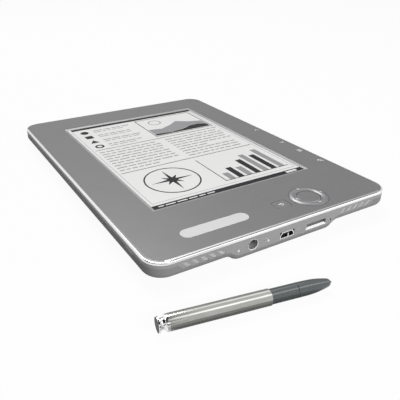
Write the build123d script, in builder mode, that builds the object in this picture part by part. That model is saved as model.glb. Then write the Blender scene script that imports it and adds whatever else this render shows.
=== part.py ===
from build123d import *
import os
from math import cos, radians, sin

os.makedirs("parts", exist_ok=True)

# Pen-input reader tablet with a six-inch paper-like display, and its telescopic stylus.
# Millimetres. The origin is the middle of the flat belly that the case rests on,
# +Z runs up through the face, +Y towards the top edge, and the ports are on the -Y edge.

# ---------------------------------------------------------------- driving dimensions
# case outline and section
case_width = 132.0
case_length = 185.0
case_thickness = 11.0  # belly flat to face
corner_radius = 9.0
wall = 1.3
belly_half = 24.2  # half the width of the belly's flat
flank_width = 7.8  # S-shaped slope from the belly's flat up to the wing
wing_height = 3.0  # underside of the wings above the belly's flat
keel_round = 2.7  # round between the underside and the walls

# fits
seam = 0.05  # gap between fixed pieces that nest
key_gap = 0.12  # running gap round a key in its hole
loose_gap = 0.3  # clearance round a piece that is only dropped in place

# trim ring, upper shell and front plate
ring_width = 0.9
ring_height = 1.1
ring_round = 0.6
shell_height = 1.6  # band of the upper shell between the trim ring and the tub
finger_tab_y = -72.5  # tab of the upper shell let into the left wall
finger_tab_length, finger_tab_drop = 7.0, 1.0
ledge_width = 1.3  # shelf inside the shell's wall that the plate lies on
ledge_thickness = 0.7
plate_thickness = 1.1
plate_edge_width, plate_edge_drop = 0.9, 0.2  # shallow slope along the plate's edge

# display
active_width = 90.4
active_length = 122.2
display_x, display_y = 1.5, 8.8
window_reveal = 1.7  # light frame seen round the active area
window_bevel = 0.2
film_margin = 1.2  # film beyond the active area, under the frame
film_depth = 0.8  # top of the film under the face
backplane_thickness = 0.7
backplane_margin = 3.5
driver_clearance = 2.0  # backplane's driver strip to the rocker's lip
frame_height = 0.6
frame_slope_width, frame_slope_drop = 1.4, 0.45
sensor_thickness = 0.8

# mid frame
carrier_thickness = 0.9
carrier_margin = 5.5  # from the case's side to the edge of the carrier
carrier_corner = 5.0
well_wall = 1.2
leg_width = 7.5
lightening_width, lightening_length = 34.0, 36.0
lightening_pitch_x, lightening_pitch_y = 40.8, 43.2

# port panel in the -Y edge
panel_end_inset = 10.0  # case's side to the end of the panel's top
panel_end_lean = 3.6
panel_sill = 0.2  # strip of wall left under the panel, above the keel's round
tab_length = 3.7
tab_height = 1.6
tab_thickness = 0.8
tab_top_gap = 0.2

# ports, by their middle along X and Z
jack_x, jack_z = -18.2, 6.0
jack_hole_radius = 2.5
jack_hole_bevel = 0.3
jack_bevel_angle = 90.0
jack_bore_radius = 1.8
jack_collar_radius = 2.35
jack_collar_length = 0.6
jack_width, jack_height, jack_depth = 6.4, 5.4, 12.0
jack_bore_depth = 11.4
usb_x, usb_z = 0.45, 5.25
usb_width, usb_height, usb_depth = 7.9, 3.3, 8.0
usb_shoulder = 1.1  # taper of each side towards the top
usb_skin = 0.45
tongue_width, tongue_height = 4.6, 1.1
card_x, card_z = 17.4, 5.7
card_width, card_height = 11.4, 2.1
card_channel = 1.4  # height of the channel in the socket behind the slot
card_socket_width, card_socket_depth = 14.0, 15.0
card_skin = 0.5
scoop_width, scoop_depth, scoop_drop = 12.3, 0.8, 0.8
reset_x, reset_z = 26.4, 5.1
reset_radius = 0.5
light_spots = [(-25.6, 5.2), (-10.0, 5.4)]
light_radius = 0.55
light_head_radius = 0.95
light_head_length = 0.9
mic_x, mic_z = -12.0, 6.0
mic_radius = 0.3

# speaker louvres
louvre_count = 5
louvre_pitch = 4.1
louvre_inset = 13.7  # panel's end to the middle of its louvres
louvre_width = 2.2
louvre_low, louvre_high = 6.2, 8.6
mesh_thickness = 0.3
mesh_sink = 0.7  # the mesh's pads under the panel's surface
speaker_width, speaker_depth, speaker_height = 14.0, 7.0, 3.1

# circuit board, battery and small parts
board_thickness = 0.8
board_gap = 1.0  # board edge behind the panel
board_overhang = 6.5  # board edge beyond the rocker's lip
battery_width, battery_length, battery_height = 42.0, 74.0, 5.0
battery_y = -14.0
shield_width, shield_height = 16.0, 1.5
shield_clearance = 8.0  # shield behind the charging socket
flex_width, flex_thickness = 28.0, 0.15
flex_offset = 7.0
connector_length = 4.0

# navigation keys on the face
nav_side_inset, nav_end_inset = 40.7, 14.2  # rocker's middle from the case's side and port edge
nav_hole_radius = 9.6
nav_gap = 0.2
centre_key_radius = 5.55
centre_key_gap = 0.3
nav_lip = 0.6  # flange of the rocker beyond its hole
nav_lip_thickness = 0.3
ridge_radius, ridge_width, ridge_height = 7.7, 3.2, 0.5
arrow_length, arrow_width, arrow_height = 1.6, 2.2, 0.12
rocker_foot = 2.05  # depth of the rocker's underside below the face
pivot_inner, pivot_outer, pivot_thickness = 6.1, 7.2, 0.3
pivot_drop = 0.35
nub_radius, nub_circle = 0.35, 8.0
press_travel = 0.3
dome_radius, dome_height, dome_slope = 0.6, 0.3, 30.0
back_key_pitch, back_key_end_inset = 16.4, 14.5
back_key_width, back_key_length, back_key_round = 8.2, 7.0, 2.0

# keys in the edges of the case
edge_key_height = 2.0
edge_key_z = 6.75
edge_key_round = 0.9
edge_key_proud = 0.5
edge_travel = 0.35
edge_flange = 0.5
edge_flange_thickness = 0.8
side_key_length = 11.0
side_key_middles = {"page_back": 8.3, "page_forward": -16.8, "menu": -32.1, "zoom": -48.9}
power_key_inset = 22.0
power_key_length = 9.0
switch_length, switch_height, switch_depth = 3.0, 2.2, 1.8
side_board_thickness = 0.8
side_board_overhang = 5.0

# screws through the back
screw_inset = 8.5
screw_head_radius = 1.8
screw_radius, screw_length = 0.8, 5.4
recess_width, recess_length, recess_depth = 0.5, 1.8, 0.7
boss_radius = 2.6
boss_height = 1.7

# plain plate on the face
badge_side_inset, badge_end_inset = 38.3, 14.6
badge_width, badge_length = 6.8, 34.3
badge_thickness, badge_recess = 0.35, 0.3

# stylus, lying in front of the case
pen_x = -74.2
pen_distance = 19.9  # middle of its end disc in front of the case
pen_angle = -10.2
sleeve_radius, sleeve_bore = 3.2, 2.95
sleeve_start, sleeve_end = 4.0, 43.0
sleeve_lip = 0.2
grip_radius = 2.9
grip_back = 10.0
grip_end = 54.2
grip_bevel = 0.15
nose_end, nose_tip_radius = 68.9, 0.9
nib_radius, nib_back, nib_end = 0.4, 56.0, 69.8
nib_gap = 0.05
coil_inner, coil_outer = 0.8, 2.0
coil_start, coil_end = 57.0, 62.0
disc_radius, disc_thickness = 2.8, 0.35
rim_radius, rim_thickness = 3.1, 0.55
neck_radius, neck_at = 2.3, 1.3
shoulder_at = 3.0
spigot_length = 3.0
nose_swells = [(0.58, 0.89), (0.86, 0.65)]  # shares of the nose's length and of the grip's radius
nose_tip_slope = (1, -2)

# ---------------------------------------------------------------- places worked out
split_z = case_thickness - ring_height
shell_z = split_z - shell_height
plate_under = case_thickness - plate_thickness
belly_foot = belly_half + flank_width
inner_end = case_length / 2 - wall
plate_inset = ring_width + seam
panel_top_half = case_width / 2 - panel_end_inset
panel_foot_half = panel_top_half - panel_end_lean
louvre_middle = panel_top_half - louvre_inset
mesh_span = (louvre_count - 1) * louvre_pitch + louvre_high - louvre_low + louvre_width
tab_start = louvre_middle + mesh_span / 2 + loose_gap
nav_x = case_width / 2 - nav_side_inset
nav_y = nav_end_inset - case_length / 2
back_key_x = nav_x - back_key_pitch
back_key_y = back_key_end_inset - case_length / 2
badge_x = badge_side_inset - case_width / 2
badge_y = badge_end_inset - case_length / 2
power_key_x = case_width / 2 - power_key_inset
film_top = case_thickness - film_depth
backplane_top = plate_under - seam
backplane_under = backplane_top - backplane_thickness
sensor_under = backplane_under - sensor_thickness
carrier_under = sensor_under - carrier_thickness
window_width = active_width + 2 * window_reveal
window_length = active_length + 2 * window_reveal
panel_width = active_width + 2 * backplane_margin
panel_low_y = nav_y + nav_hole_radius + nav_lip + driver_clearance
panel_high_y = display_y + active_length / 2 + backplane_margin
panel_length = panel_high_y - panel_low_y
panel_y = (panel_high_y + panel_low_y) / 2
sensor_low_y = display_y - active_length / 2 - backplane_margin
board_under = usb_z + usb_height / 2
board_top = board_under + board_thickness
board_front = -inner_end + board_gap
board_back = nav_y + nav_hole_radius + nav_lip + board_overhang
board_half = louvre_middle - speaker_width / 2 - loose_gap
port_plane = Plane.XZ.offset(case_length / 2)
behind_panel = Plane.XZ.offset(inner_end)
left_plane = Plane((-case_width / 2, finger_tab_y, shell_z), x_dir=(0, -1, 0), z_dir=(-1, 0, 0))
card_floor = card_z - card_height / 2
rocker_under = case_thickness - rocker_foot
pen_along = (cos(radians(pen_angle)), sin(radians(pen_angle)), 0)
pen_across = (sin(radians(pen_angle)), -cos(radians(pen_angle)), 0)
pen_y = -case_length / 2 - pen_distance
pen_plane = Plane((pen_x, pen_y, sleeve_radius), x_dir=pen_along, z_dir=pen_across)
pen_axis = Axis(pen_plane.origin, pen_along)
screw_x = case_width / 2 - screw_inset
screw_y = case_length / 2 - screw_inset
screw_spots = [(x, y) for x in (-screw_x, screw_x) for y in (-screw_y, screw_y)]


# ---------------------------------------------------------------- case
def belly_line(low, high):
    """From wing to wing along the underside: an S-shaped flank, the belly's flat, and a flank."""
    for side in (-1, 1):
        flank_middle = (side * (belly_half + flank_width / 2), (low + high) / 2)
        TangentArc((side * belly_foot, high), flank_middle, tangent=(-side, 0))
        TangentArc((side * belly_half, low), flank_middle, tangent=(side, 0))
    Line((-belly_half, low), (belly_half, low))


def tub_solid(inset):
    """The tub's form drawn in by inset: wings and belly below, round keel, up to the shell."""
    half = case_width / 2 - inset
    wing_z = wing_height + inset
    with BuildPart() as tub:
        with BuildSketch(Plane.XZ):
            with BuildLine():
                Polyline((-belly_foot, wing_z), (-half, wing_z), (-half, shell_z), (half, shell_z))
                Polyline((half, shell_z), (half, wing_z), (belly_foot, wing_z))
                belly_line(inset, wing_z)
            make_face()
        extrude(amount=case_length / 2 - inset, both=True)
        with BuildSketch(Plane.XY.offset(inset)):
            RectangleRounded(2 * half, case_length - 2 * inset, corner_radius - inset)
        extrude(amount=case_thickness, mode=Mode.INTERSECT)
        low_edges = tub.edges().filter_by(Axis.Z, reverse=True).filter_by(
            lambda edge: edge.center().Z < shell_z - seam
        )
        flank_seams = low_edges.filter_by(Axis.Y).filter_by(
            lambda edge: abs(edge.center().X) < belly_foot + seam
        )
        fillet(low_edges - flank_seams, keel_round - inset)
    return tub.part


def panel_line(gap):
    """The port panel's outline: slanted ends, foot along the keel, swelling down over the belly."""
    top = split_z - gap
    belly_z = keel_round + panel_sill + gap
    wing_z = belly_z + wing_height
    top_half = panel_top_half - gap
    foot_half = panel_foot_half - gap
    Polyline((-belly_foot, wing_z), (-foot_half, wing_z), (-top_half, top), (top_half, top))
    Polyline((top_half, top), (foot_half, wing_z), (belly_foot, wing_z))
    belly_line(belly_z, wing_z)


def edge_plane(x, y, outward):
    """A plane on the case's side, its X along the edge, its Y up and its Z out of the case."""
    along = (-outward[1], outward[0], 0)
    return Plane((x, y, edge_key_z), x_dir=along, z_dir=outward)


side_planes = {
    name: edge_plane(case_width / 2, middle, (1, 0, 0)) for name, middle in side_key_middles.items()
}
power_plane = edge_plane(power_key_x, case_length / 2, (0, 1, 0))
outer_tub = tub_solid(0.0)
inner_tub = tub_solid(wall)

with BuildPart() as back_cover:
    add(outer_tub)
    add(inner_tub, mode=Mode.SUBTRACT)
    # bosses that the screws pass through, on the inside of the wings
    with BuildSketch(Plane.XY.offset(wing_height + wall)):
        with Locations(*screw_spots):
            Circle(boss_radius)
    extrude(amount=boss_height)
    with Locations(*[Location((x, y, wing_height), (180, 0, 0)) for x, y in screw_spots]):
        CounterSinkHole(
            radius=screw_radius + seam,
            counter_sink_radius=screw_head_radius + seam,
            depth=wall + boss_height,
        )
    # notch that takes the port panel
    with BuildSketch(port_plane):
        with BuildLine():
            panel_line(0.0)
        make_face()
    extrude(amount=-wall, mode=Mode.SUBTRACT)
    # holes for the keys in the right and top edges
    for plane in side_planes.values():
        with BuildSketch(plane):
            RectangleRounded(side_key_length, edge_key_height, edge_key_round)
        extrude(amount=-wall, mode=Mode.SUBTRACT)
    with BuildSketch(power_plane):
        RectangleRounded(power_key_length, edge_key_height, edge_key_round)
    extrude(amount=-wall, mode=Mode.SUBTRACT)
    # notch in the left wall for the upper shell's finger tab
    with BuildSketch(left_plane):
        with Locations((0, -(finger_tab_drop + seam) / 2)):
            Rectangle(finger_tab_length + 2 * seam, finger_tab_drop + seam)
    extrude(amount=-wall, mode=Mode.SUBTRACT)
back_cover.part.label = "back_cover"
export_step(back_cover.part, "parts/back_cover.step")

with BuildPart() as upper_shell:
    with BuildSketch(Plane.XY.offset(shell_z)):
        RectangleRounded(case_width, case_length, corner_radius)
        RectangleRounded(
            case_width - 2 * wall, case_length - 2 * wall, corner_radius - wall, mode=Mode.SUBTRACT
        )
    extrude(amount=shell_height)
    # notch that takes the port panel
    with BuildSketch(port_plane):
        with BuildLine():
            panel_line(0.0)
        make_face()
    extrude(amount=-wall, mode=Mode.SUBTRACT)
    # finger tab let down into the left wall
    with BuildSketch(left_plane):
        with Locations((0, -finger_tab_drop / 2)):
            Rectangle(finger_tab_length, finger_tab_drop)
    extrude(amount=-wall)
    # shelf that the front plate lies on
    ledge_inset = wall + ledge_width
    with BuildSketch(Plane.XY.offset(split_z - ledge_thickness)):
        RectangleRounded(case_width - 2 * wall, case_length - 2 * wall, corner_radius - wall)
        RectangleRounded(
            case_width - 2 * ledge_inset,
            case_length - 2 * ledge_inset,
            corner_radius - ledge_inset,
            mode=Mode.SUBTRACT,
        )
    extrude(amount=ledge_thickness)
upper_shell.part.label = "upper_shell"
export_step(upper_shell.part, "parts/upper_shell.step")

with BuildPart() as trim_ring:
    with BuildSketch(Plane.XY.offset(split_z)):
        RectangleRounded(case_width, case_length, corner_radius)
    extrude(amount=ring_height)
    fillet(trim_ring.faces().sort_by(Axis.Z)[-1].edges(), ring_round)
    with BuildSketch(Plane.XY.offset(split_z)):
        RectangleRounded(
            case_width - 2 * ring_width, case_length - 2 * ring_width, corner_radius - ring_width
        )
    extrude(amount=ring_height, mode=Mode.SUBTRACT)
trim_ring.part.label = "trim_ring"
export_step(trim_ring.part, "parts/trim_ring.step")

with BuildPart() as front_plate:
    with BuildSketch(Plane.XY.offset(plate_under)):
        RectangleRounded(
            case_width - 2 * plate_inset, case_length - 2 * plate_inset, corner_radius - plate_inset
        )
    extrude(amount=plate_thickness)
    plate_top = front_plate.faces().sort_by(Axis.Z)[-1]
    chamfer(plate_top.edges(), plate_edge_width, plate_edge_drop, reference=plate_top)
    # display window with its sloping edge
    with BuildSketch(Plane.XY.offset(plate_under)):
        with Locations((display_x, display_y)):
            Rectangle(window_width, window_length)
    extrude(amount=plate_thickness, mode=Mode.SUBTRACT)
    window_edges = front_plate.faces().sort_by(Axis.Z)[-1].inner_wires()[0].edges()
    chamfer(window_edges, window_bevel)
    # holes for the navigation rocker and the back key
    with BuildSketch(Plane.XY.offset(plate_under)):
        with Locations((nav_x, nav_y)):
            Circle(nav_hole_radius)
        with Locations((back_key_x, back_key_y)):
            RectangleRounded(
                back_key_width + 2 * key_gap, back_key_length + 2 * key_gap, back_key_round + key_gap
            )
    extrude(amount=plate_thickness, mode=Mode.SUBTRACT)
    # recess for the plain badge
    with BuildSketch(Plane.XY.offset(case_thickness)):
        with Locations((badge_x, badge_y)):
            SlotOverall(badge_length + 2 * seam, badge_width + 2 * seam)
    extrude(amount=-badge_recess, mode=Mode.SUBTRACT)
front_plate.part.label = "front_plate"
export_step(front_plate.part, "parts/front_plate.step")

with BuildPart() as badge_plate:
    with BuildSketch(Plane.XY.offset(case_thickness - badge_recess)):
        with Locations((badge_x, badge_y)):
            SlotOverall(badge_length, badge_width)
    extrude(amount=badge_thickness)
    chamfer(badge_plate.faces().sort_by(Axis.Z)[-1].edges(), badge_thickness - badge_recess)
badge_plate.part.label = "badge_plate"
export_step(badge_plate.part, "parts/badge_plate.step")

with BuildPart() as case_screws:
    for x, y in screw_spots:
        with BuildSketch(Plane.XZ.offset(-y)):
            with BuildLine():
                Polyline(
                    (x, wing_height),
                    (x + screw_head_radius, wing_height),
                    (x + screw_radius, wing_height + screw_head_radius - screw_radius),
                    (x + screw_radius, wing_height + screw_length),
                    (x, wing_height + screw_length),
                    close=True,
                )
            make_face()
        revolve(axis=Axis((x, y, 0), (0, 0, 1)))
    # cross recesses
    with BuildSketch(Plane.XY.offset(wing_height)):
        with Locations(*screw_spots):
            Rectangle(recess_length, recess_width)
            Rectangle(recess_width, recess_length)
    extrude(amount=recess_depth, mode=Mode.SUBTRACT)
case_screws.part.label = "case_screws"
export_step(case_screws.part, "parts/case_screws.step")


# ---------------------------------------------------------------- port edge
def louvre_corners(side, index, inset):
    """Corners of one slanted louvre drawn in by inset, leaning outwards."""
    middle = louvre_middle + (index - (louvre_count - 1) / 2) * louvre_pitch
    lean = (louvre_high - louvre_low) / 2 - inset
    half = louvre_width / 2 - inset
    low, high = louvre_low + inset, louvre_high - inset
    return [
        (side * (middle - lean - half), low),
        (side * (middle - lean + half), low),
        (side * (middle + lean + half), high),
        (side * (middle + lean - half), high),
    ]


with BuildPart() as port_panel:
    with BuildSketch(port_plane):
        with BuildLine():
            panel_line(seam)
        make_face()
    extrude(amount=-wall)
    # tabs that catch behind the tub's wall at both ends
    with BuildSketch(behind_panel):
        for side in (-1, 1):
            tab_top = split_z - ledge_thickness - tab_top_gap
            with Locations((side * (tab_start + tab_length / 2), tab_top - tab_height / 2)):
                Rectangle(tab_length, tab_height)
    extrude(amount=-tab_thickness)
    # slanted speaker louvres, leaning outwards at both ends
    with BuildSketch(port_plane):
        for side in (-1, 1):
            for index in range(louvre_count):
                with BuildLine():
                    Polyline(*louvre_corners(side, index, 0.0), close=True)
                make_face()
    extrude(amount=-wall, mode=Mode.SUBTRACT)
    # headphone hole with a bevelled rim
    with Locations(Plane((jack_x, -case_length / 2, jack_z), z_dir=(0, -1, 0))):
        CounterSinkHole(
            radius=jack_hole_radius,
            counter_sink_radius=jack_hole_radius + jack_hole_bevel,
            depth=wall,
            counter_sink_angle=jack_bevel_angle,
        )
    # socket opening, card slot, lights, microphone and reset hole
    with BuildSketch(port_plane):
        with Locations((usb_x, usb_z)):
            Rectangle(usb_width + 2 * key_gap, usb_height + 2 * key_gap)
        with Locations((card_x, card_z)):
            Rectangle(card_width, card_height)
        with Locations(*light_spots):
            Circle(light_radius + seam)
        with Locations((mic_x, mic_z)):
            Circle(mic_radius)
        with Locations((reset_x, reset_z)):
            Circle(reset_radius)
    extrude(amount=-wall, mode=Mode.SUBTRACT)
    # finger scoop that slopes up into the card slot
    with BuildSketch(Plane.YZ.offset(card_x)):
        with BuildLine():
            Polyline(
                (-case_length / 2, card_floor - scoop_drop),
                (-case_length / 2 + scoop_depth, card_floor),
                (-case_length / 2, card_floor),
                close=True,
            )
        make_face()
    extrude(amount=scoop_width / 2, both=True, mode=Mode.SUBTRACT)
port_panel.part.label = "port_panel"
export_step(port_panel.part, "parts/port_panel.step")

with BuildPart() as speaker_mesh:
    with BuildSketch(behind_panel):
        for side in (-1, 1):
            with Locations((side * louvre_middle, (louvre_low + louvre_high) / 2)):
                Rectangle(mesh_span, louvre_high - louvre_low)
    extrude(amount=-mesh_thickness)
    # pads pressed forward into the louvres
    with BuildSketch(behind_panel):
        for side in (-1, 1):
            for index in range(louvre_count):
                with BuildLine():
                    Polyline(*louvre_corners(side, index, seam), close=True)
                make_face()
    extrude(amount=wall - mesh_sink)
speaker_mesh.part.label = "speaker_mesh"
export_step(speaker_mesh.part, "parts/speaker_mesh.step")

for side, name in ((-1, "speaker_left"), (1, "speaker_right")):
    with BuildPart() as speaker:
        speaker_z = (louvre_low + louvre_high) / 2
        with BuildSketch(Plane.XZ.offset(inner_end - mesh_thickness)):
            with Locations((side * louvre_middle, speaker_z)):
                RectangleRounded(speaker_width, speaker_height, wall)
        extrude(amount=-speaker_depth)
        # shallow dish of the diaphragm
        with BuildSketch(Plane.XZ.offset(inner_end - mesh_thickness)):
            with Locations((side * louvre_middle, speaker_z)):
                RectangleRounded(speaker_width - 2 * wall, speaker_height - wall, wall / 2)
        extrude(amount=-mesh_thickness, mode=Mode.SUBTRACT)
    speaker.part.label = name
    export_step(speaker.part, f"parts/{name}.step")

with BuildPart() as indicator_lights:
    with BuildSketch(port_plane):
        with Locations(*light_spots):
            Circle(light_radius)
    extrude(amount=-wall)
    with BuildSketch(behind_panel):
        with Locations(*light_spots):
            Circle(light_head_radius)
    extrude(amount=-light_head_length)
indicator_lights.part.label = "indicator_lights"
export_step(indicator_lights.part, "parts/indicator_lights.step")

with BuildPart() as headphone_jack:
    jack_front = inner_end - seam
    with BuildSketch(Plane.XZ.offset(jack_front)):
        with Locations((jack_x, jack_z)):
            Rectangle(jack_width, jack_height)
    extrude(amount=-jack_depth)
    with BuildSketch(Plane.XZ.offset(jack_front)):
        with Locations((jack_x, jack_z)):
            Circle(jack_collar_radius)
    extrude(amount=jack_collar_length)
    with BuildSketch(Plane.XZ.offset(jack_front + jack_collar_length)):
        with Locations((jack_x, jack_z)):
            Circle(jack_bore_radius)
    extrude(amount=-jack_bore_depth, mode=Mode.SUBTRACT)
headphone_jack.part.label = "headphone_jack"
export_step(headphone_jack.part, "parts/headphone_jack.step")


def usb_corners(inset):
    """Corners of the socket's section drawn in by inset: a flat foot, shoulders sloping to the top."""
    half = usb_width / 2 - inset
    low = usb_z - usb_height / 2 + inset
    high = usb_z + usb_height / 2 - inset
    return [
        (usb_x - half, low),
        (usb_x + half, low),
        (usb_x + half, usb_z),
        (usb_x + half - usb_shoulder, high),
        (usb_x - half + usb_shoulder, high),
        (usb_x - half, usb_z),
    ]


with BuildPart() as usb_socket:
    usb_front = Plane.XZ.offset(case_length / 2 - seam)
    with BuildSketch(usb_front):
        with BuildLine():
            Polyline(*usb_corners(0.0), close=True)
        make_face()
    extrude(amount=-usb_depth)
    with BuildSketch(usb_front):
        with BuildLine():
            Polyline(*usb_corners(usb_skin), close=True)
        make_face()
    extrude(amount=usb_skin - usb_depth, mode=Mode.SUBTRACT)
usb_socket.part.label = "usb_socket"
export_step(usb_socket.part, "parts/usb_socket.step")

with BuildPart() as usb_tongue:
    with BuildSketch(Plane.XZ.offset(case_length / 2 - wall)):
        with Locations((usb_x, usb_z)):
            Rectangle(tongue_width, tongue_height)
    extrude(amount=usb_skin + wall - seam - usb_depth)
usb_tongue.part.label = "usb_tongue"
export_step(usb_tongue.part, "parts/usb_tongue.step")

with BuildPart() as card_socket:
    with BuildSketch(Plane.XZ.offset(inner_end - seam)):
        with Locations((card_x, (card_floor - card_skin + board_under) / 2)):
            Rectangle(card_socket_width, board_under - card_floor + card_skin)
    extrude(amount=-card_socket_depth)
    with BuildSketch(Plane.XZ.offset(inner_end - seam)):
        with Locations((card_x, card_floor + card_channel / 2)):
            Rectangle(card_width, card_channel)
    extrude(amount=card_skin - card_socket_depth, mode=Mode.SUBTRACT)
card_socket.part.label = "card_socket"
export_step(card_socket.part, "parts/card_socket.step")

# ---------------------------------------------------------------- display stack
with BuildPart() as epaper_panel:
    with BuildSketch(Plane.XY.offset(backplane_under)):
        with Locations((display_x, panel_y)):
            Rectangle(panel_width, panel_length)
    extrude(amount=backplane_thickness)
    with BuildSketch(Plane.XY.offset(backplane_top)):
        with Locations((display_x, display_y)):
            Rectangle(active_width + 2 * film_margin, active_length + 2 * film_margin)
    extrude(amount=film_top - backplane_top)
epaper_panel.part.label = "epaper_panel"
export_step(epaper_panel.part, "parts/epaper_panel.step")

with BuildPart() as screen_frame:
    with BuildSketch(Plane.XY.offset(film_top)):
        with Locations((display_x, display_y)):
            Rectangle(window_width - 2 * seam, window_length - 2 * seam)
            Rectangle(active_width, active_length, mode=Mode.SUBTRACT)
    extrude(amount=frame_height)
    # slope down to the page
    frame_top = screen_frame.faces().sort_by(Axis.Z)[-1]
    slope_edges = frame_top.inner_wires()[0].edges()
    chamfer(slope_edges, frame_slope_width, frame_slope_drop, reference=frame_top)
screen_frame.part.label = "screen_frame"
export_step(screen_frame.part, "parts/screen_frame.step")

with BuildPart() as pen_sensor_board:
    with BuildSketch(Plane.XY.offset(sensor_under)):
        with Locations((display_x, display_y)):
            Rectangle(panel_width, active_length + 2 * backplane_margin)
    extrude(amount=sensor_thickness)
pen_sensor_board.part.label = "pen_sensor_board"
export_step(pen_sensor_board.part, "parts/pen_sensor_board.step")

with BuildPart() as mid_frame:
    carrier_width = case_width - 2 * carrier_margin
    carrier_length = case_length - 2 * carrier_margin
    with BuildSketch(Plane.XY.offset(carrier_under)):
        RectangleRounded(carrier_width, carrier_length, carrier_corner)
        # open between the legs at the port end, where the circuit board lies
        with Locations((0, (board_back + seam - case_length / 2) / 2)):
            Rectangle(
                carrier_width - 2 * leg_width,
                board_back + seam + case_length / 2,
                mode=Mode.SUBTRACT,
            )
        with Locations((display_x, display_y)):
            with GridLocations(lightening_pitch_x, lightening_pitch_y, 2, 2):
                RectangleRounded(
                    lightening_width, lightening_length, carrier_corner, mode=Mode.SUBTRACT
                )
    extrude(amount=carrier_thickness)
    # walls of the well that the display stack lies in, open at the port end
    well_high_y = panel_high_y + seam
    well_length = well_high_y - board_back - seam
    with BuildSketch(Plane.XY.offset(sensor_under)):
        with Locations((display_x, well_high_y + well_wall - (well_length + well_wall) / 2)):
            Rectangle(panel_width + 2 * (seam + well_wall), well_length + well_wall)
        with Locations((display_x, well_high_y - well_length / 2)):
            Rectangle(panel_width + 2 * seam, well_length, mode=Mode.SUBTRACT)
    extrude(amount=plate_under - sensor_under)
    # posts from the tub's bosses up to the front plate
    post_foot = wing_height + wall + boss_height
    with BuildSketch(Plane.XY.offset(post_foot)):
        with Locations(*screw_spots):
            Circle(boss_radius)
    extrude(amount=plate_under - post_foot)
    with Locations(*[Location((x, y, post_foot), (180, 0, 0)) for x, y in screw_spots]):
        Hole(radius=screw_radius + seam, depth=wing_height + screw_length + loose_gap - post_foot)
mid_frame.part.label = "mid_frame"
export_step(mid_frame.part, "parts/mid_frame.step")

# ---------------------------------------------------------------- electronics
with BuildPart() as main_board:
    with BuildSketch(Plane.XY.offset(board_under)):
        with Locations((0, (board_front + board_back) / 2)):
            Rectangle(2 * board_half, board_back - board_front)
        # notch round the mid-mounted headphone jack
        with Locations((jack_x, board_front)):
            Rectangle(
                jack_width + 2 * loose_gap,
                2 * (jack_depth - board_gap + loose_gap),
                mode=Mode.SUBTRACT,
            )
    extrude(amount=board_thickness)
main_board.part.label = "main_board"
export_step(main_board.part, "parts/main_board.step")

with BuildPart() as processor_shield:
    shield_front = usb_depth + shield_clearance - case_length / 2
    shield_back = board_back - wall
    with BuildSketch(Plane.XY.offset(board_under)):
        with Locations((jack_x + shield_width / 2 + jack_width, (shield_front + shield_back) / 2)):
            RectangleRounded(shield_width, shield_back - shield_front, wall)
    extrude(amount=-shield_height)
    fillet(processor_shield.faces().sort_by(Axis.Z)[0].edges(), loose_gap)
processor_shield.part.label = "processor_shield"
export_step(processor_shield.part, "parts/processor_shield.step")

with BuildPart() as light_emitters:
    with BuildSketch(Plane.XY.offset(board_under)):
        for x, z in light_spots:
            with Locations((x, -inner_end + light_head_length + light_radius + seam)):
                Rectangle(2 * light_radius, 2 * light_radius)
    extrude(amount=-(board_under - light_spots[0][1] + light_radius))
light_emitters.part.label = "light_emitters"
export_step(light_emitters.part, "parts/light_emitters.step")

with BuildPart() as reset_switch:
    with BuildSketch(Plane.XY.offset(board_under)):
        with Locations((reset_x, board_front + switch_length / 2)):
            Rectangle(switch_depth, switch_length)
    extrude(amount=-(board_under - reset_z + switch_height / 2))
reset_switch.part.label = "reset_switch"
export_step(reset_switch.part, "parts/reset_switch.step")

with BuildPart() as battery:
    with BuildSketch(Plane.XY.offset(wall)):
        with Locations((0, battery_y)):
            RectangleRounded(battery_width, battery_length, wall)
    extrude(amount=battery_height)
    fillet(battery.edges().filter_by(Axis.Z, reverse=True), loose_gap)
battery.part.label = "battery"
export_step(battery.part, "parts/battery.step")

# the display's ribbon lies flat from under the backplane to its connector, which stands on the
# board clear of both the board's edge and the pen sensor
flex_x = display_x - flex_offset
flex_under = backplane_under - flex_thickness
connector_y = min(board_back, sensor_low_y) - connector_length

with BuildPart() as display_connector:
    with BuildSketch(Plane.XY.offset(board_top)):
        with Locations((flex_x, connector_y)):
            Rectangle(flex_width, connector_length)
    extrude(amount=flex_under - board_top)
display_connector.part.label = "display_connector"
export_step(display_connector.part, "parts/display_connector.step")

with BuildPart() as display_flex:
    flex_end = sensor_low_y
    flex_start = connector_y - connector_length / 2
    with BuildSketch(Plane.XY.offset(flex_under)):
        with Locations((flex_x, (flex_start + flex_end) / 2)):
            Rectangle(flex_width, flex_end - flex_start)
    extrude(amount=flex_thickness)
display_flex.part.label = "display_flex"
export_step(display_flex.part, "parts/display_flex.step")

# ---------------------------------------------------------------- keys on the face
compass = [(0, 1), (1, 0), (0, -1), (-1, 0)]
rocker_outer = nav_hole_radius - nav_gap
rocker_inner = centre_key_radius + centre_key_gap
dome_top = board_top + dome_height

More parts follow.
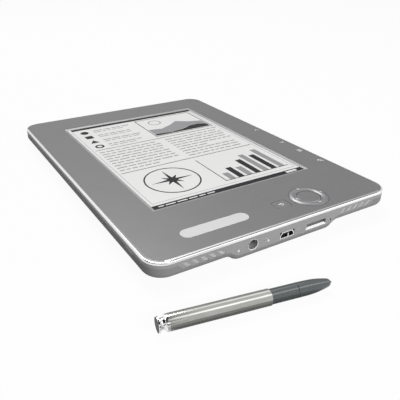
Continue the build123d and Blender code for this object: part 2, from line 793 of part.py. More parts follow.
with BuildPart() as nav_rocker:
    with BuildSketch(Plane.XY.offset(rocker_under)):
        with Locations((nav_x, nav_y)):
            Circle(rocker_outer)
    extrude(amount=rocker_foot)
    # raised round ridge under the finger
    ridge_plane = Plane.XZ.offset(-nav_y)
    with BuildSketch(ridge_plane):
        with BuildLine():
            ridge_low = (nav_x + ridge_radius - ridge_width / 2, case_thickness)
            ridge_top = (nav_x + ridge_radius, case_thickness + ridge_height)
            ridge_high = (nav_x + ridge_radius + ridge_width / 2, case_thickness)
            ThreePointArc(ridge_low, ridge_top, ridge_high)
            Line(ridge_high, ridge_low)
        make_face()
    revolve(axis=Axis((nav_x, nav_y, 0), (0, 0, 1)))
    # lip that keeps the rocker under the plate
    with BuildSketch(Plane.XY.offset(rocker_under - nav_lip_thickness / 2)):
        with Locations((nav_x, nav_y)):
            Circle(nav_hole_radius + nav_lip)
            Circle(pivot_outer + nav_lip, mode=Mode.SUBTRACT)
    extrude(amount=nav_lip_thickness)
    # nubs over the four domes, and an arrow mark over each
    with BuildSketch(Plane.XY.offset(rocker_under)):
        with Locations(*[(nav_x + nub_circle * x, nav_y + nub_circle * y) for x, y in compass]):
            Circle(nub_radius)
    extrude(amount=-(rocker_under - dome_top - press_travel - seam))
    with BuildSketch(Plane.XY.offset(case_thickness)):
        for x, y in compass:
            tip = ridge_radius + arrow_length / 2
            root = ridge_radius - arrow_length / 2
            with BuildLine():
                Polyline(
                    (nav_x + tip * x, nav_y + tip * y),
                    (nav_x + root * x + arrow_width / 2 * y, nav_y + root * y + arrow_width / 2 * x),
                    (nav_x + root * x - arrow_width / 2 * y, nav_y + root * y - arrow_width / 2 * x),
                    close=True,
                )
            make_face()
    extrude(amount=ridge_height + arrow_height)
    # bore for the centre key
    with BuildSketch(Plane.XY.offset(rocker_under - nav_lip_thickness)):
        with Locations((nav_x, nav_y)):
            Circle(rocker_inner)
    extrude(amount=case_thickness, mode=Mode.SUBTRACT)
nav_rocker.part.label = "nav_rocker"
export_step(nav_rocker.part, "parts/nav_rocker.step")

with BuildPart() as nav_pivot_ring:
    with BuildSketch(Plane.XY.offset(rocker_under - pivot_drop)):
        with Locations((nav_x, nav_y)):
            Circle(pivot_outer)
            Circle(pivot_inner, mode=Mode.SUBTRACT)
    extrude(amount=-pivot_thickness)
nav_pivot_ring.part.label = "nav_pivot_ring"
export_step(nav_pivot_ring.part, "parts/nav_pivot_ring.step")

with BuildPart() as centre_key:
    with BuildSketch(Plane.XY.offset(dome_top + press_travel + seam)):
        with Locations((nav_x, nav_y)):
            Circle(centre_key_radius)
    extrude(amount=case_thickness - dome_top - press_travel - seam)
    chamfer(centre_key.faces().sort_by(Axis.Z)[-1].edges(), key_gap)
    with BuildSketch(Plane.XY.offset(dome_top + press_travel + seam)):
        with Locations((nav_x, nav_y)):
            Circle(pivot_inner - key_gap)
    extrude(amount=pivot_thickness - seam)
centre_key.part.label = "centre_key"
export_step(centre_key.part, "parts/centre_key.step")

with BuildPart() as back_key:
    with BuildSketch(Plane.XY.offset(dome_top + press_travel + seam)):
        with Locations((back_key_x, back_key_y)):
            RectangleRounded(back_key_width, back_key_length, back_key_round)
    extrude(amount=case_thickness - dome_top - press_travel - seam)
    chamfer(back_key.faces().sort_by(Axis.Z)[-1].edges(), key_gap)
    # flange under the plate
    with BuildSketch(Plane.XY.offset(plate_under - seam)):
        with Locations((back_key_x, back_key_y)):
            RectangleRounded(
                back_key_width + 2 * edge_flange,
                back_key_length + 2 * edge_flange,
                back_key_round + edge_flange,
            )
    extrude(amount=-pivot_thickness)
back_key.part.label = "back_key"
export_step(back_key.part, "parts/back_key.step")

with BuildPart() as dome_switches:
    dome_spots = [(nav_x + nub_circle * x, nav_y + nub_circle * y) for x, y in compass]
    dome_spots += [(nav_x, nav_y), (back_key_x, back_key_y)]
    with BuildSketch(Plane.XY.offset(board_top)):
        with Locations(*dome_spots):
            Circle(dome_radius)
    extrude(amount=dome_height, taper=dome_slope)
dome_switches.part.label = "dome_switches"
export_step(dome_switches.part, "parts/dome_switches.step")


# ---------------------------------------------------------------- keys in the edges
def edge_key(plane, length):
    """A key in the case's edge: rounded bar through the wall, and a flange inside it."""
    with BuildPart() as key:
        with BuildSketch(plane.offset(edge_key_proud)):
            RectangleRounded(
                length - 2 * key_gap, edge_key_height - 2 * key_gap, edge_key_round - key_gap
            )
        extrude(amount=-(edge_key_proud + wall + seam))
        fillet(key.faces().sort_by(Axis(plane.origin, plane.z_dir))[-1].edges(), edge_key_proud / 2)
        with BuildSketch(plane.offset(-wall - seam)):
            RectangleRounded(length + 2 * edge_flange, edge_key_height + edge_flange, edge_key_round)
        extrude(amount=-edge_flange_thickness)
    return key.part


flange_back = wall + seam + edge_flange_thickness
switch_front = flange_back + edge_travel + seam

for name, plane in side_planes.items():
    key = edge_key(plane, side_key_length)
    key.label = f"{name}_key"
    export_step(key, f"parts/{name}_key.step")

power_key = edge_key(power_plane, power_key_length)
power_key.label = "power_key"
export_step(power_key, "parts/power_key.step")

with BuildPart() as side_switches:
    for plane in side_planes.values():
        with BuildSketch(plane.offset(-switch_front)):
            Rectangle(switch_length, switch_height)
        extrude(amount=-switch_depth)
side_switches.part.label = "side_switches"
export_step(side_switches.part, "parts/side_switches.step")

with BuildPart() as side_board:
    middles = list(side_key_middles.values())
    board_span = max(middles) - min(middles) + 2 * side_board_overhang
    side_plane = edge_plane(case_width / 2, (max(middles) + min(middles)) / 2, (1, 0, 0))
    with BuildSketch(side_plane.offset(-switch_front - switch_depth)):
        Rectangle(board_span, edge_key_height)
    extrude(amount=-side_board_thickness)
side_board.part.label = "side_board"
export_step(side_board.part, "parts/side_board.step")

with BuildPart() as power_switch:
    with BuildSketch(power_plane.offset(-switch_front)):
        Rectangle(switch_length, switch_height)
    extrude(amount=-(carrier_margin - switch_front))
power_switch.part.label = "power_switch"
export_step(power_switch.part, "parts/power_switch.step")

# ---------------------------------------------------------------- stylus
with BuildPart() as stylus_sleeve:
    with BuildSketch(pen_plane):
        with BuildLine():
            Polyline(
                (sleeve_start, sleeve_bore),
                (sleeve_start, sleeve_radius),
                (sleeve_end - sleeve_lip, sleeve_radius),
            )
            RadiusArc(
                (sleeve_end - sleeve_lip, sleeve_radius),
                (sleeve_end, sleeve_radius - sleeve_lip),
                sleeve_lip,
            )
            Polyline(
                (sleeve_end, sleeve_radius - sleeve_lip),
                (sleeve_end, sleeve_bore),
                (sleeve_start, sleeve_bore),
            )
        make_face()
    revolve(axis=pen_axis)
stylus_sleeve.part.label = "stylus_sleeve"
export_step(stylus_sleeve.part, "parts/stylus_sleeve.step")

with BuildPart() as stylus_collar:
    with BuildSketch(pen_plane):
        with BuildLine():
            Polyline(
                (disc_thickness, 0),
                (disc_thickness, disc_radius + seam),
                (0, disc_radius + seam),
                (0, rim_radius - rim_thickness / 4),
                (rim_thickness / 4, rim_radius),
                (rim_thickness, rim_radius),
            )
            ThreePointArc(
                (rim_thickness, rim_radius),
                (neck_at, neck_radius),
                (shoulder_at, sleeve_radius),
            )
            Polyline(
                (shoulder_at, sleeve_radius),
                (sleeve_start, sleeve_radius),
                (sleeve_start, sleeve_bore - seam),
                (sleeve_start + spigot_length, sleeve_bore - seam),
                (sleeve_start + spigot_length, 0),
                (disc_thickness, 0),
            )
        make_face()
    revolve(axis=pen_axis)
stylus_collar.part.label = "stylus_collar"
export_step(stylus_collar.part, "parts/stylus_collar.step")

with BuildPart() as stylus_end_disc:
    with BuildSketch(pen_plane):
        with Locations((disc_thickness / 2, disc_radius / 2)):
            Rectangle(disc_thickness, disc_radius)
    revolve(axis=pen_axis)
stylus_end_disc.part.label = "stylus_end_disc"
export_step(stylus_end_disc.part, "parts/stylus_end_disc.step")

with BuildPart() as stylus_grip:
    with BuildSketch(pen_plane):
        with BuildLine():
            Polyline(
                (grip_back, 0),
                (grip_back, grip_radius - grip_bevel),
                (grip_back + grip_bevel, grip_radius),
                (grip_end - grip_bevel, grip_radius),
                (grip_end, grip_radius - grip_bevel),
                (grip_end, 0),
                close=True,
            )
        make_face()
    revolve(axis=pen_axis)
stylus_grip.part.label = "stylus_grip"
export_step(stylus_grip.part, "parts/stylus_grip.step")

with BuildPart() as stylus_nose:
    with BuildSketch(pen_plane):
        with BuildLine():
            Polyline(
                (nose_end, nib_radius + nib_gap),
                (coil_end + seam, nib_radius + nib_gap),
                (coil_end + seam, coil_outer + seam),
                (grip_end, coil_outer + seam),
                (grip_end, grip_radius - grip_bevel),
                (grip_end + grip_bevel, grip_radius),
            )
            nose_length = nose_end - grip_end
            Spline(
                (grip_end + grip_bevel, grip_radius),
                *[(grip_end + a * nose_length, b * grip_radius) for a, b in nose_swells],
                (nose_end, nose_tip_radius),
                tangents=[(1, 0), nose_tip_slope],
            )
            Line((nose_end, nose_tip_radius), (nose_end, nib_radius + nib_gap))
        make_face()
    revolve(axis=pen_axis)
stylus_nose.part.label = "stylus_nose"
export_step(stylus_nose.part, "parts/stylus_nose.step")

with BuildPart() as stylus_coil:
    with BuildSketch(pen_plane):
        with Locations(((coil_start + coil_end) / 2, (coil_inner + coil_outer) / 2)):
            Rectangle(coil_end - coil_start, coil_outer - coil_inner)
    revolve(axis=pen_axis)
stylus_coil.part.label = "stylus_coil"
export_step(stylus_coil.part, "parts/stylus_coil.step")

with BuildPart() as stylus_nib:
    with BuildSketch(pen_plane):
        with BuildLine():
            Polyline((nib_end - nib_radius, nib_radius), (nib_back, nib_radius), (nib_back, 0))
            Line((nib_back, 0), (nib_end, 0))
            RadiusArc((nib_end - nib_radius, nib_radius), (nib_end, 0), nib_radius)
        make_face()
    revolve(axis=pen_axis)
stylus_nib.part.label = "stylus_nib"
export_step(stylus_nib.part, "parts/stylus_nib.step")
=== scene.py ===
from math import cos, pi, radians, sin

import bmesh
import bpy
from bpy.props import FloatProperty, FloatVectorProperty, IntProperty, PointerProperty
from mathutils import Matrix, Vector


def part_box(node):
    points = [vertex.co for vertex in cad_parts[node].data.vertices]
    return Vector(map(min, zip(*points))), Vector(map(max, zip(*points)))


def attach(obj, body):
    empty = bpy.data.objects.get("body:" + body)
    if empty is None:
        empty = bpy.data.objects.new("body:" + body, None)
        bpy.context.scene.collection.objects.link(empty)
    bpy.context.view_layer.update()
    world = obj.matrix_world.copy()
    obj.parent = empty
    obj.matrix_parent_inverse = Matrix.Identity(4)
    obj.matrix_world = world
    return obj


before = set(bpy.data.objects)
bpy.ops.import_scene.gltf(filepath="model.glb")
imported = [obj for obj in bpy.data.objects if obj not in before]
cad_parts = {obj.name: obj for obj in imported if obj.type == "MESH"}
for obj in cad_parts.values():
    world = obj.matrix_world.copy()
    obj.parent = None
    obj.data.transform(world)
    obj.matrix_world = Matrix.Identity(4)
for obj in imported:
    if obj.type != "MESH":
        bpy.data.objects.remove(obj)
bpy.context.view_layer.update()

bl_info = {
    "name": "Pen Reader Dressing",
    "version": (1, 0, 0),
    "blender": (4, 5, 0),
    "location": "View3D > Sidebar > Reader",
    "description": "Finishes, page, key marks and studio for a pen-input reader tablet",
    "category": "Object",
}

MM = 0.001
DEVICE = "device"


def linear(code):
    """The linear red, green and blue of an sRGB hex colour."""
    parts = [int(code[i : i + 2], 16) / 255 for i in (0, 2, 4)]
    return tuple(c / 12.92 if c <= 0.04045 else ((c + 0.055) / 1.055) ** 2.4 for c in parts)


# ---------------- what a user would change
def colour_property(name, code, description):
    """A colour setting whose default is given as an sRGB hex colour."""
    return FloatVectorProperty(
        name=name, description=description, default=linear(code),
        size=3, subtype="COLOR", min=0, max=1)


def length_property(name, millimetres, description):
    """A length setting in metres whose default is given in millimetres."""
    return FloatProperty(
        name=name, description=description, default=millimetres * MM, unit="LENGTH", precision=5)


def power_property(name, watts, description):
    """A lamp's power setting in watts."""
    return FloatProperty(name=name, description=description, default=watts, min=0, unit="POWER")


class ReaderCaseLook(bpy.types.PropertyGroup):
    face: colour_property("Face", "7A7A7B", "Blasted and anodised metal of the front plate")
    face_shade: colour_property("Face shade", "737374", "Darker spots in the plate's grain")
    tub: colour_property("Back cover", "8E8E8F", "Moulded plastic of the back cover")
    panel: colour_property("Port panel", "9B9B9B", "Moulded plastic of port panel and shell")
    rim: colour_property("Rim", "F4F4F4", "Lacquered metal of the trim ring")
    badge: colour_property("Badge", "D6D6D6", "Plain plate on the face")
    mark: colour_property("Marks", "F2F2F2", "Printed marks beside the keys and ports")
    mark_height: length_property("Mark height", 0.03, "Thickness of the printed marks")
    stroke: length_property("Mark stroke", 0.42, "Width of the strokes in the marks on the face")


class ReaderPageLook(bpy.types.PropertyGroup):
    paper: colour_property("Paper", "E2E2E1", "Resting colour of the display")
    ink: colour_property("Black ink", "1E1E20", "Darkest level of the display")
    grey: colour_property("Grey ink", "838385", "Middle level of the display")
    ink_height: length_property("Ink height", 0.03, "Thickness given to the page's marks")
    bar_height: length_property("Bar height", 3.6, "Height of the dark bar at the page's foot")
    word_seed: IntProperty(
        name="Word seed", description="Choice of word lengths on the page", default=7)


class ReaderStylusLook(bpy.types.PropertyGroup):
    sleeve: colour_property("Sleeve", "B6B6B2", "Brushed steel of the sleeve")
    grip: colour_property("Grip", "323A3B", "Moulded plastic of the grip and nose")
    disc: colour_property("End disc", "303030", "Disc in the end of the collar")
    brush_length: length_property("Brush length", 6.0, "Length of the sleeve's brushed lines")


class ReaderStageLook(bpy.types.PropertyGroup):
    place: FloatVectorProperty(
        name="Camera place", description="Where the camera stands", size=3,
        default=(-0.1300, -0.2251, 0.1173), subtype="TRANSLATION", unit="LENGTH")
    aim: FloatVectorProperty(
        name="Camera aim", description="Direction the camera looks in", size=3,
        default=(0.4460, 0.7636, -0.4669), subtype="XYZ")
    lens: FloatProperty(name="Lens", description="Focal length in millimetres", default=43.67)
    shift: FloatProperty(name="Shift", description="Sideways lens shift", default=0.0441)
    floor: colour_property("Floor", "FEFEFE", "Floor as it is seen")
    floor_bounce: colour_property(
        "Floor bounce", "AAAAAA", "Floor as it lights the object and takes its shadow")
    floor_size: length_property("Floor size", 6000.0, "Side of the square floor")
    dome: FloatProperty(
        name="Dome", description="Strength of the even light all round", default=0.1)
    dim: FloatProperty(
        name="Dim foot", description="Strength of the backdrop's foot in reflections",
        default=0.45)
    back_power: power_property("Back power", 9.7, "Power of the high lamp behind")
    kicker_power: power_property(
        "Kicker power", 0.24, "Power of the small lamp at the back right")
    front_power: power_property("Front power", 5.0, "Power of the long lamp in front")
    side_power: power_property("Side power", 1.2, "Power of the lamp at the front left")


# ---------------- materials
DRIFT_SIZE = 30  # grains across one swell of the slow drift
DRIFT_SHARE = 0.35  # how far the drift, and not the grain, sets the tint and the gloss
TINT_FROM, TINT_TO = 0.325, 0.675  # noise levels between which the colour turns to the shade
GLOSS_FROM, GLOSS_TO = 0.3, 0.7  # noise levels between which the roughness swings


def add_node(tree, kind, sockets=None, **settings):
    """A node with its settings, each named socket set to a value or linked to an output."""
    made = tree.nodes.new(kind)
    for name, value in settings.items():
        setattr(made, name, value)
    for name, value in (sockets or {}).items():
        if isinstance(value, bpy.types.NodeSocket):
            tree.links.new(value, made.inputs[name])
        else:
            made.inputs[name].default_value = value
    return made


def grain_finish(name, colour, shade, metallic, roughness, grain, relief,
                 spread=0.06, stretch=(1, 1, 1), turn=0.0, **constants):
    """A finish whose grain, of a size in mm, tints it, roughens it and raises it by relief in mm.

    A much larger drift keeps wide faces from looking flat. The roughness swings by spread to
    either side. Stretch and turn lay the grain along one way. The other sockets of the shader
    are set by name, with _ for a space.
    """
    material = bpy.data.materials.new(name)
    material.use_nodes = True
    tree = material.node_tree
    shader = tree.nodes["Principled BSDF"]
    spot = add_node(tree, "ShaderNodeTexCoord").outputs["Object"]
    turned = add_node(
        tree, "ShaderNodeMapping", {"Vector": spot, "Rotation": (0, 0, turn)},
        vector_type="TEXTURE")
    drawn = add_node(
        tree, "ShaderNodeMapping", {"Vector": turned.outputs[0], "Scale": stretch})
    fine = add_node(tree, "ShaderNodeTexNoise", {
        "Vector": drawn.outputs[0], "Scale": 1 / (grain * MM),
        "Detail": 3.0, "Roughness": 0.55})
    drift = add_node(tree, "ShaderNodeTexNoise", {
        "Vector": spot, "Scale": 1 / (DRIFT_SIZE * grain * MM),
        "Detail": 2.0, "Roughness": 0.5})
    both = add_node(tree, "ShaderNodeMix", {
        0: DRIFT_SHARE, 2: fine.outputs[0], 3: drift.outputs[0]}, data_type="FLOAT")
    level = add_node(tree, "ShaderNodeMapRange", {
        "Value": both.outputs[0], "From Min": TINT_FROM, "From Max": TINT_TO})
    tint = add_node(tree, "ShaderNodeMix", {
        0: level.outputs[0], 6: (*colour, 1), 7: (*shade, 1)}, data_type="RGBA")
    gloss = add_node(tree, "ShaderNodeMapRange", {
        "Value": both.outputs[0], "From Min": GLOSS_FROM, "From Max": GLOSS_TO,
        "To Min": roughness - spread, "To Max": roughness + spread})
    raised = add_node(tree, "ShaderNodeBump", {
        "Height": fine.outputs[0], "Strength": 1.0, "Distance": relief * MM})
    tree.links.new(tint.outputs[2], shader.inputs["Base Color"])
    tree.links.new(gloss.outputs[0], shader.inputs["Roughness"])
    tree.links.new(raised.outputs[0], shader.inputs["Normal"])
    shader.inputs["Metallic"].default_value = metallic
    for socket, value in constants.items():
        shader.inputs[socket.replace("_", " ")].default_value = value
    return material


def dress(material, *nodes):
    """Gives CAD nodes this material in place of the plain one they came with."""
    for name in nodes:
        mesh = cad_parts[name].data
        mesh.materials.clear()
        mesh.materials.append(material)
        for face in mesh.polygons:
            face.material_index = 0


def dress_faces(material, name, chosen):
    """Gives those faces of a dressed CAD node that chosen(face) picks a second material."""
    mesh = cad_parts[name].data
    mesh.materials.append(material)
    for face in mesh.polygons:
        if chosen(face):
            face.material_index = len(mesh.materials) - 1


# ---------------- mesh helpers
def piece(name, build, material, body):
    """Adds a mesh piece filled by build(bm), finished, and carried by a body."""
    bm = bmesh.new()
    build(bm)
    bmesh.ops.recalc_face_normals(bm, faces=bm.faces)
    mesh = bpy.data.meshes.new(name)
    bm.to_mesh(mesh)
    bm.free()
    mesh.materials.append(material)
    made = bpy.data.objects.new(name, mesh)
    bpy.context.scene.collection.objects.link(made)
    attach(made, body)


def prism(bm, place, outline, low, high, hole=None):
    """A closed slab from low to high over an outline, in metres above its plane.

    With a hole of as many points it covers only the band between the two.
    """
    rings = [[bm.verts.new(place(u, v, h)) for u, v in outline] for h in (low, high)]
    count = len(outline)
    if hole is None:
        bm.faces.new(rings[0])
        bm.faces.new(rings[1])
        walls = [(rings[0], rings[1])]
    else:
        inner = [[bm.verts.new(place(u, v, h)) for u, v in hole] for h in (low, high)]
        walls = [
            (rings[0], rings[1]), (inner[0], inner[1]),
            (rings[0], inner[0]), (rings[1], inner[1]),
        ]
    for a, b in walls:
        for i in range(count):
            j = (i + 1) % count
            bm.faces.new((a[i], a[j], b[j], b[i]))


def box_outline(left, low, right, high):
    """The corners of an upright rectangle."""
    return [(left, low), (right, low), (right, high), (left, high)]


def round_outline(u, v, radius, count=40, start=0.0):
    """Points round a circle, or the corners of a regular shape of few sides."""
    turns = [start + 2 * pi * i / count for i in range(count)]
    return [(u + radius * cos(turn), v + radius * sin(turn)) for turn in turns]


SHARPEST_MITRE = 0.35  # keeps the corner of a sharp turn from growing long


def stroke_outline(points, width):
    """The outline of a line of even width through the points, with mitred corners."""
    path = [Vector(p) for p in points]
    sides = ([], [])
    for i, at in enumerate(path):
        before = (at - path[i - 1]).normalized() if i else None
        after = (path[i + 1] - at).normalized() if i < len(path) - 1 else None
        before = before or after
        after = after or before
        across = Vector((-(before + after).y, (before + after).x)).normalized()
        reach = width / 2 / max(SHARPEST_MITRE, across.dot(Vector((-after.y, after.x))))
        sides[0].append(at + across * reach)
        sides[1].append(at - across * reach)
    return sides[0] + sides[1][::-1]


def arc_points(u, v, radius, start, end, count=12):
    """Points along an arc from start to end in degrees."""
    turns = [radians(start + (end - start) * i / count) for i in range(count + 1)]
    return [(u + radius * cos(turn), v + radius * sin(turn)) for turn in turns]


def flat_on(level):
    """Places millimetre points of the face's plan at a level in metres."""
    return lambda u, v, h: Vector((u * MM, v * MM, level + h))


def upright_on(level):
    """Places millimetre points of the port edge's elevation in front of a level in metres."""
    return lambda u, v, h: Vector((u * MM, level - h, v * MM))


# ---------------- case
FRONT_STRAIGHT = 0.0575  # half the straight run of the ring along the port edge, in metres
FRONT_START = -0.09  # the ring's port side lies beyond this y


def on_front_slope(face):
    """Whether a face of the front plate is in the slope along its port side."""
    normal = face.normal
    return 0.9 < normal.z < 0.995 and normal.y < -0.1 and abs(normal.x) < 0.05


def on_front_step(face):
    """Whether a face of the trim ring is in its flat step along the port edge."""
    middle = face.center
    return face.normal.z > 0.96 and middle.y < FRONT_START and abs(middle.x) < FRONT_STRAIGHT


def in_finger_scoop(face):
    """Whether a face of the port panel slopes up into the card slot."""
    return face.normal.y < -0.5 and face.normal.z > 0.5


class READER_OT_case(bpy.types.Operator):
    """Finish the front plate, trim ring, back cover, port panel, badge and screws"""

    bl_idname = "reader.case"
    bl_label = "Finish the case"

    def execute(self, context):
        look = context.scene.reader_case
        # Bead-blasted, dyed anodised aluminium: the oxide scatters most of the light, so it is
        # an even satin grey with a weak metal sheen. The 0.1 mm dimples are too fine to show
        # and are drawn 0.5 mm wide.
        face = grain_finish(
            "blasted_aluminium", look.face, look.face_shade,
            metallic=0.3, roughness=0.42, grain=0.5, relief=0.004, Specular_IOR_Level=0.25)
        # Aluminium under a pale silver lacquer: the lacquer scatters most of the light, so the
        # rim stays near white all round, with a soft mirror in it.
        rim = grain_finish(
            "silver_lacquered_aluminium", look.rim, linear("EEEEEE"),
            metallic=0.75, roughness=0.2, grain=0.8, relief=0.001, spread=0.04)
        # Spark-eroded ABS: a fine even orange skin that scatters light, grain 0.4 mm.
        tub = grain_finish(
            "moulded_abs_grey", look.tub, linear("878788"),
            metallic=0.0, roughness=0.55, grain=0.4, relief=0.006,
            IOR=1.54, Specular_IOR_Level=0.1)
        # The same plastic from a smoother mould: lighter and a little glossier.
        panel = grain_finish(
            "satin_abs_light", look.panel, linear("949494"),
            metallic=0.0, roughness=0.45, grain=0.4, relief=0.003,
            IOR=1.54, Specular_IOR_Level=0.4)
        # Lacquered badge: pale, smooth and a little glossy.
        badge = grain_finish(
            "lacquered_plate", look.badge, linear("D0D0D0"),
            metallic=0.0, roughness=0.3, grain=0.6, relief=0.001, IOR=1.5)
        # Zinc-plated steel, turned on the head: a bright metal with a blurred mirror.
        screw = grain_finish(
            "zinc_plated_steel", linear("B9BCC0"), linear("A3A6AA"),
            metallic=1.0, roughness=0.32, grain=0.3, relief=0.002)
        # Diamond-cut bare metal, on the port side's slope only: partly a painted highlight, a
        # thin line.
        cut = grain_finish(
            "diamond_cut_edge", linear("BEBEBF"), linear("B3B3B4"),
            metallic=1.0, roughness=0.24, grain=0.8, relief=0.001, spread=0.04)
        # Flat step of the ring along the port edge, painted dark grey: a painted shadow of the
        # groove.
        groove_shade = grain_finish(
            "sawn_aluminium", linear("5C5C5D"), linear("525253"),
            metallic=0.3, roughness=0.6, grain=0.5, relief=0.004)
        # White in the finger scoop, which faces up into the light: a painted highlight, the
        # lightest spot of the port edge, which shows where the card goes in.
        scoop = grain_finish(
            "white_scoop_paint", linear("FAFAFA"), linear("F2F2F2"),
            metallic=0.0, roughness=0.3, grain=0.4, relief=0.001, IOR=1.5)
        dress(face, "front_plate")
        # partly a painted highlight: the bright metal goes only on the port side's slope
        dress_faces(cut, "front_plate", on_front_slope)
        dress(rim, "trim_ring")
        # painted shade: the groove's shadow along the port edge
        dress_faces(groove_shade, "trim_ring", on_front_step)
        dress(tub, "back_cover")
        dress(panel, "port_panel", "upper_shell")
        # painted highlight on the sloping finger scoop
        dress_faces(scoop, "port_panel", in_finger_scoop)
        dress(badge, "badge_plate")
        dress(screw, "case_screws")
        return {"FINISHED"}


# ---------------- page
# The page's plan, in millimetres from its lower left corner.
FRAME_SHOWN = 1.65  # light frame between the outside of screen_frame and the page
HAIRLINE = 0.22
PICTURE, PICTURE_LINE = (45, 84, 87, 117.5), 0.55
NEAR_HILL = (
    (46.2, 85.4), (85.8, 85.4), (85.8, 90), (80, 92.5),
    (74, 92), (67, 88.5), (58, 87.2), (46.2, 88.5))
FAR_HILL = (
    (46.2, 88.8), (58, 87.5), (67, 88.8), (74, 92.3), (80, 92.8), (85.8, 90.3),
    (85.8, 97), (78, 99.5), (70, 104.5), (63, 99.5), (55, 95.5), (46.2, 97.5))
SUN, SUN_RADIUS, SUN_HOLE = (56, 108.5), 4.4, 3.7
DISC, DISC_RADIUS = (8, 112.5), 2.6
SQUARE = (5.6, 101.3, 10.4, 106.1)
TRIANGLE, TRIANGLE_RADIUS = (8, 94.6), 3.2
LOOP, LOOP_RADIUS, LOOP_HOLE = (8, 86.4), 2.8, 1.5
LIST_ROWS = (113.2, 104.2, 95.2, 86.8)  # first line of words beside each list mark
RULES, RULE_INSET, RULE_LINE = (80.4, 43.6), 3, 0.5
ROSE, ROSE_RADIUS, ROSE_HOLE = (23, 24.3), 15.0, 14.2
ROSE_REACH = (12.0, 2.6, 6.4, 2.6)  # long point, notch, short point, notch
AXES = ((46, 9.0, 41, 0.5), (46, 9.5, 0.5, 30.0))  # left, foot, length, height
COLUMN_HEIGHTS = (8, 13, 11, 19, 24, 21, 27)
COLUMN_LEFT, COLUMN_FOOT, COLUMN_PITCH, COLUMN_WIDTH = 49.0, 9.5, 5.4, 3.6
TEXT_TOP, TEXT_LINES, LINE_PITCH = 76.0, 9, 3.6
WORD_SHORTEST, WORD_SPAN, WORD_GAP = 2.2, 4.6, 0.9
STEPS_OF_WORDS = 101  # word lengths repeat after this many


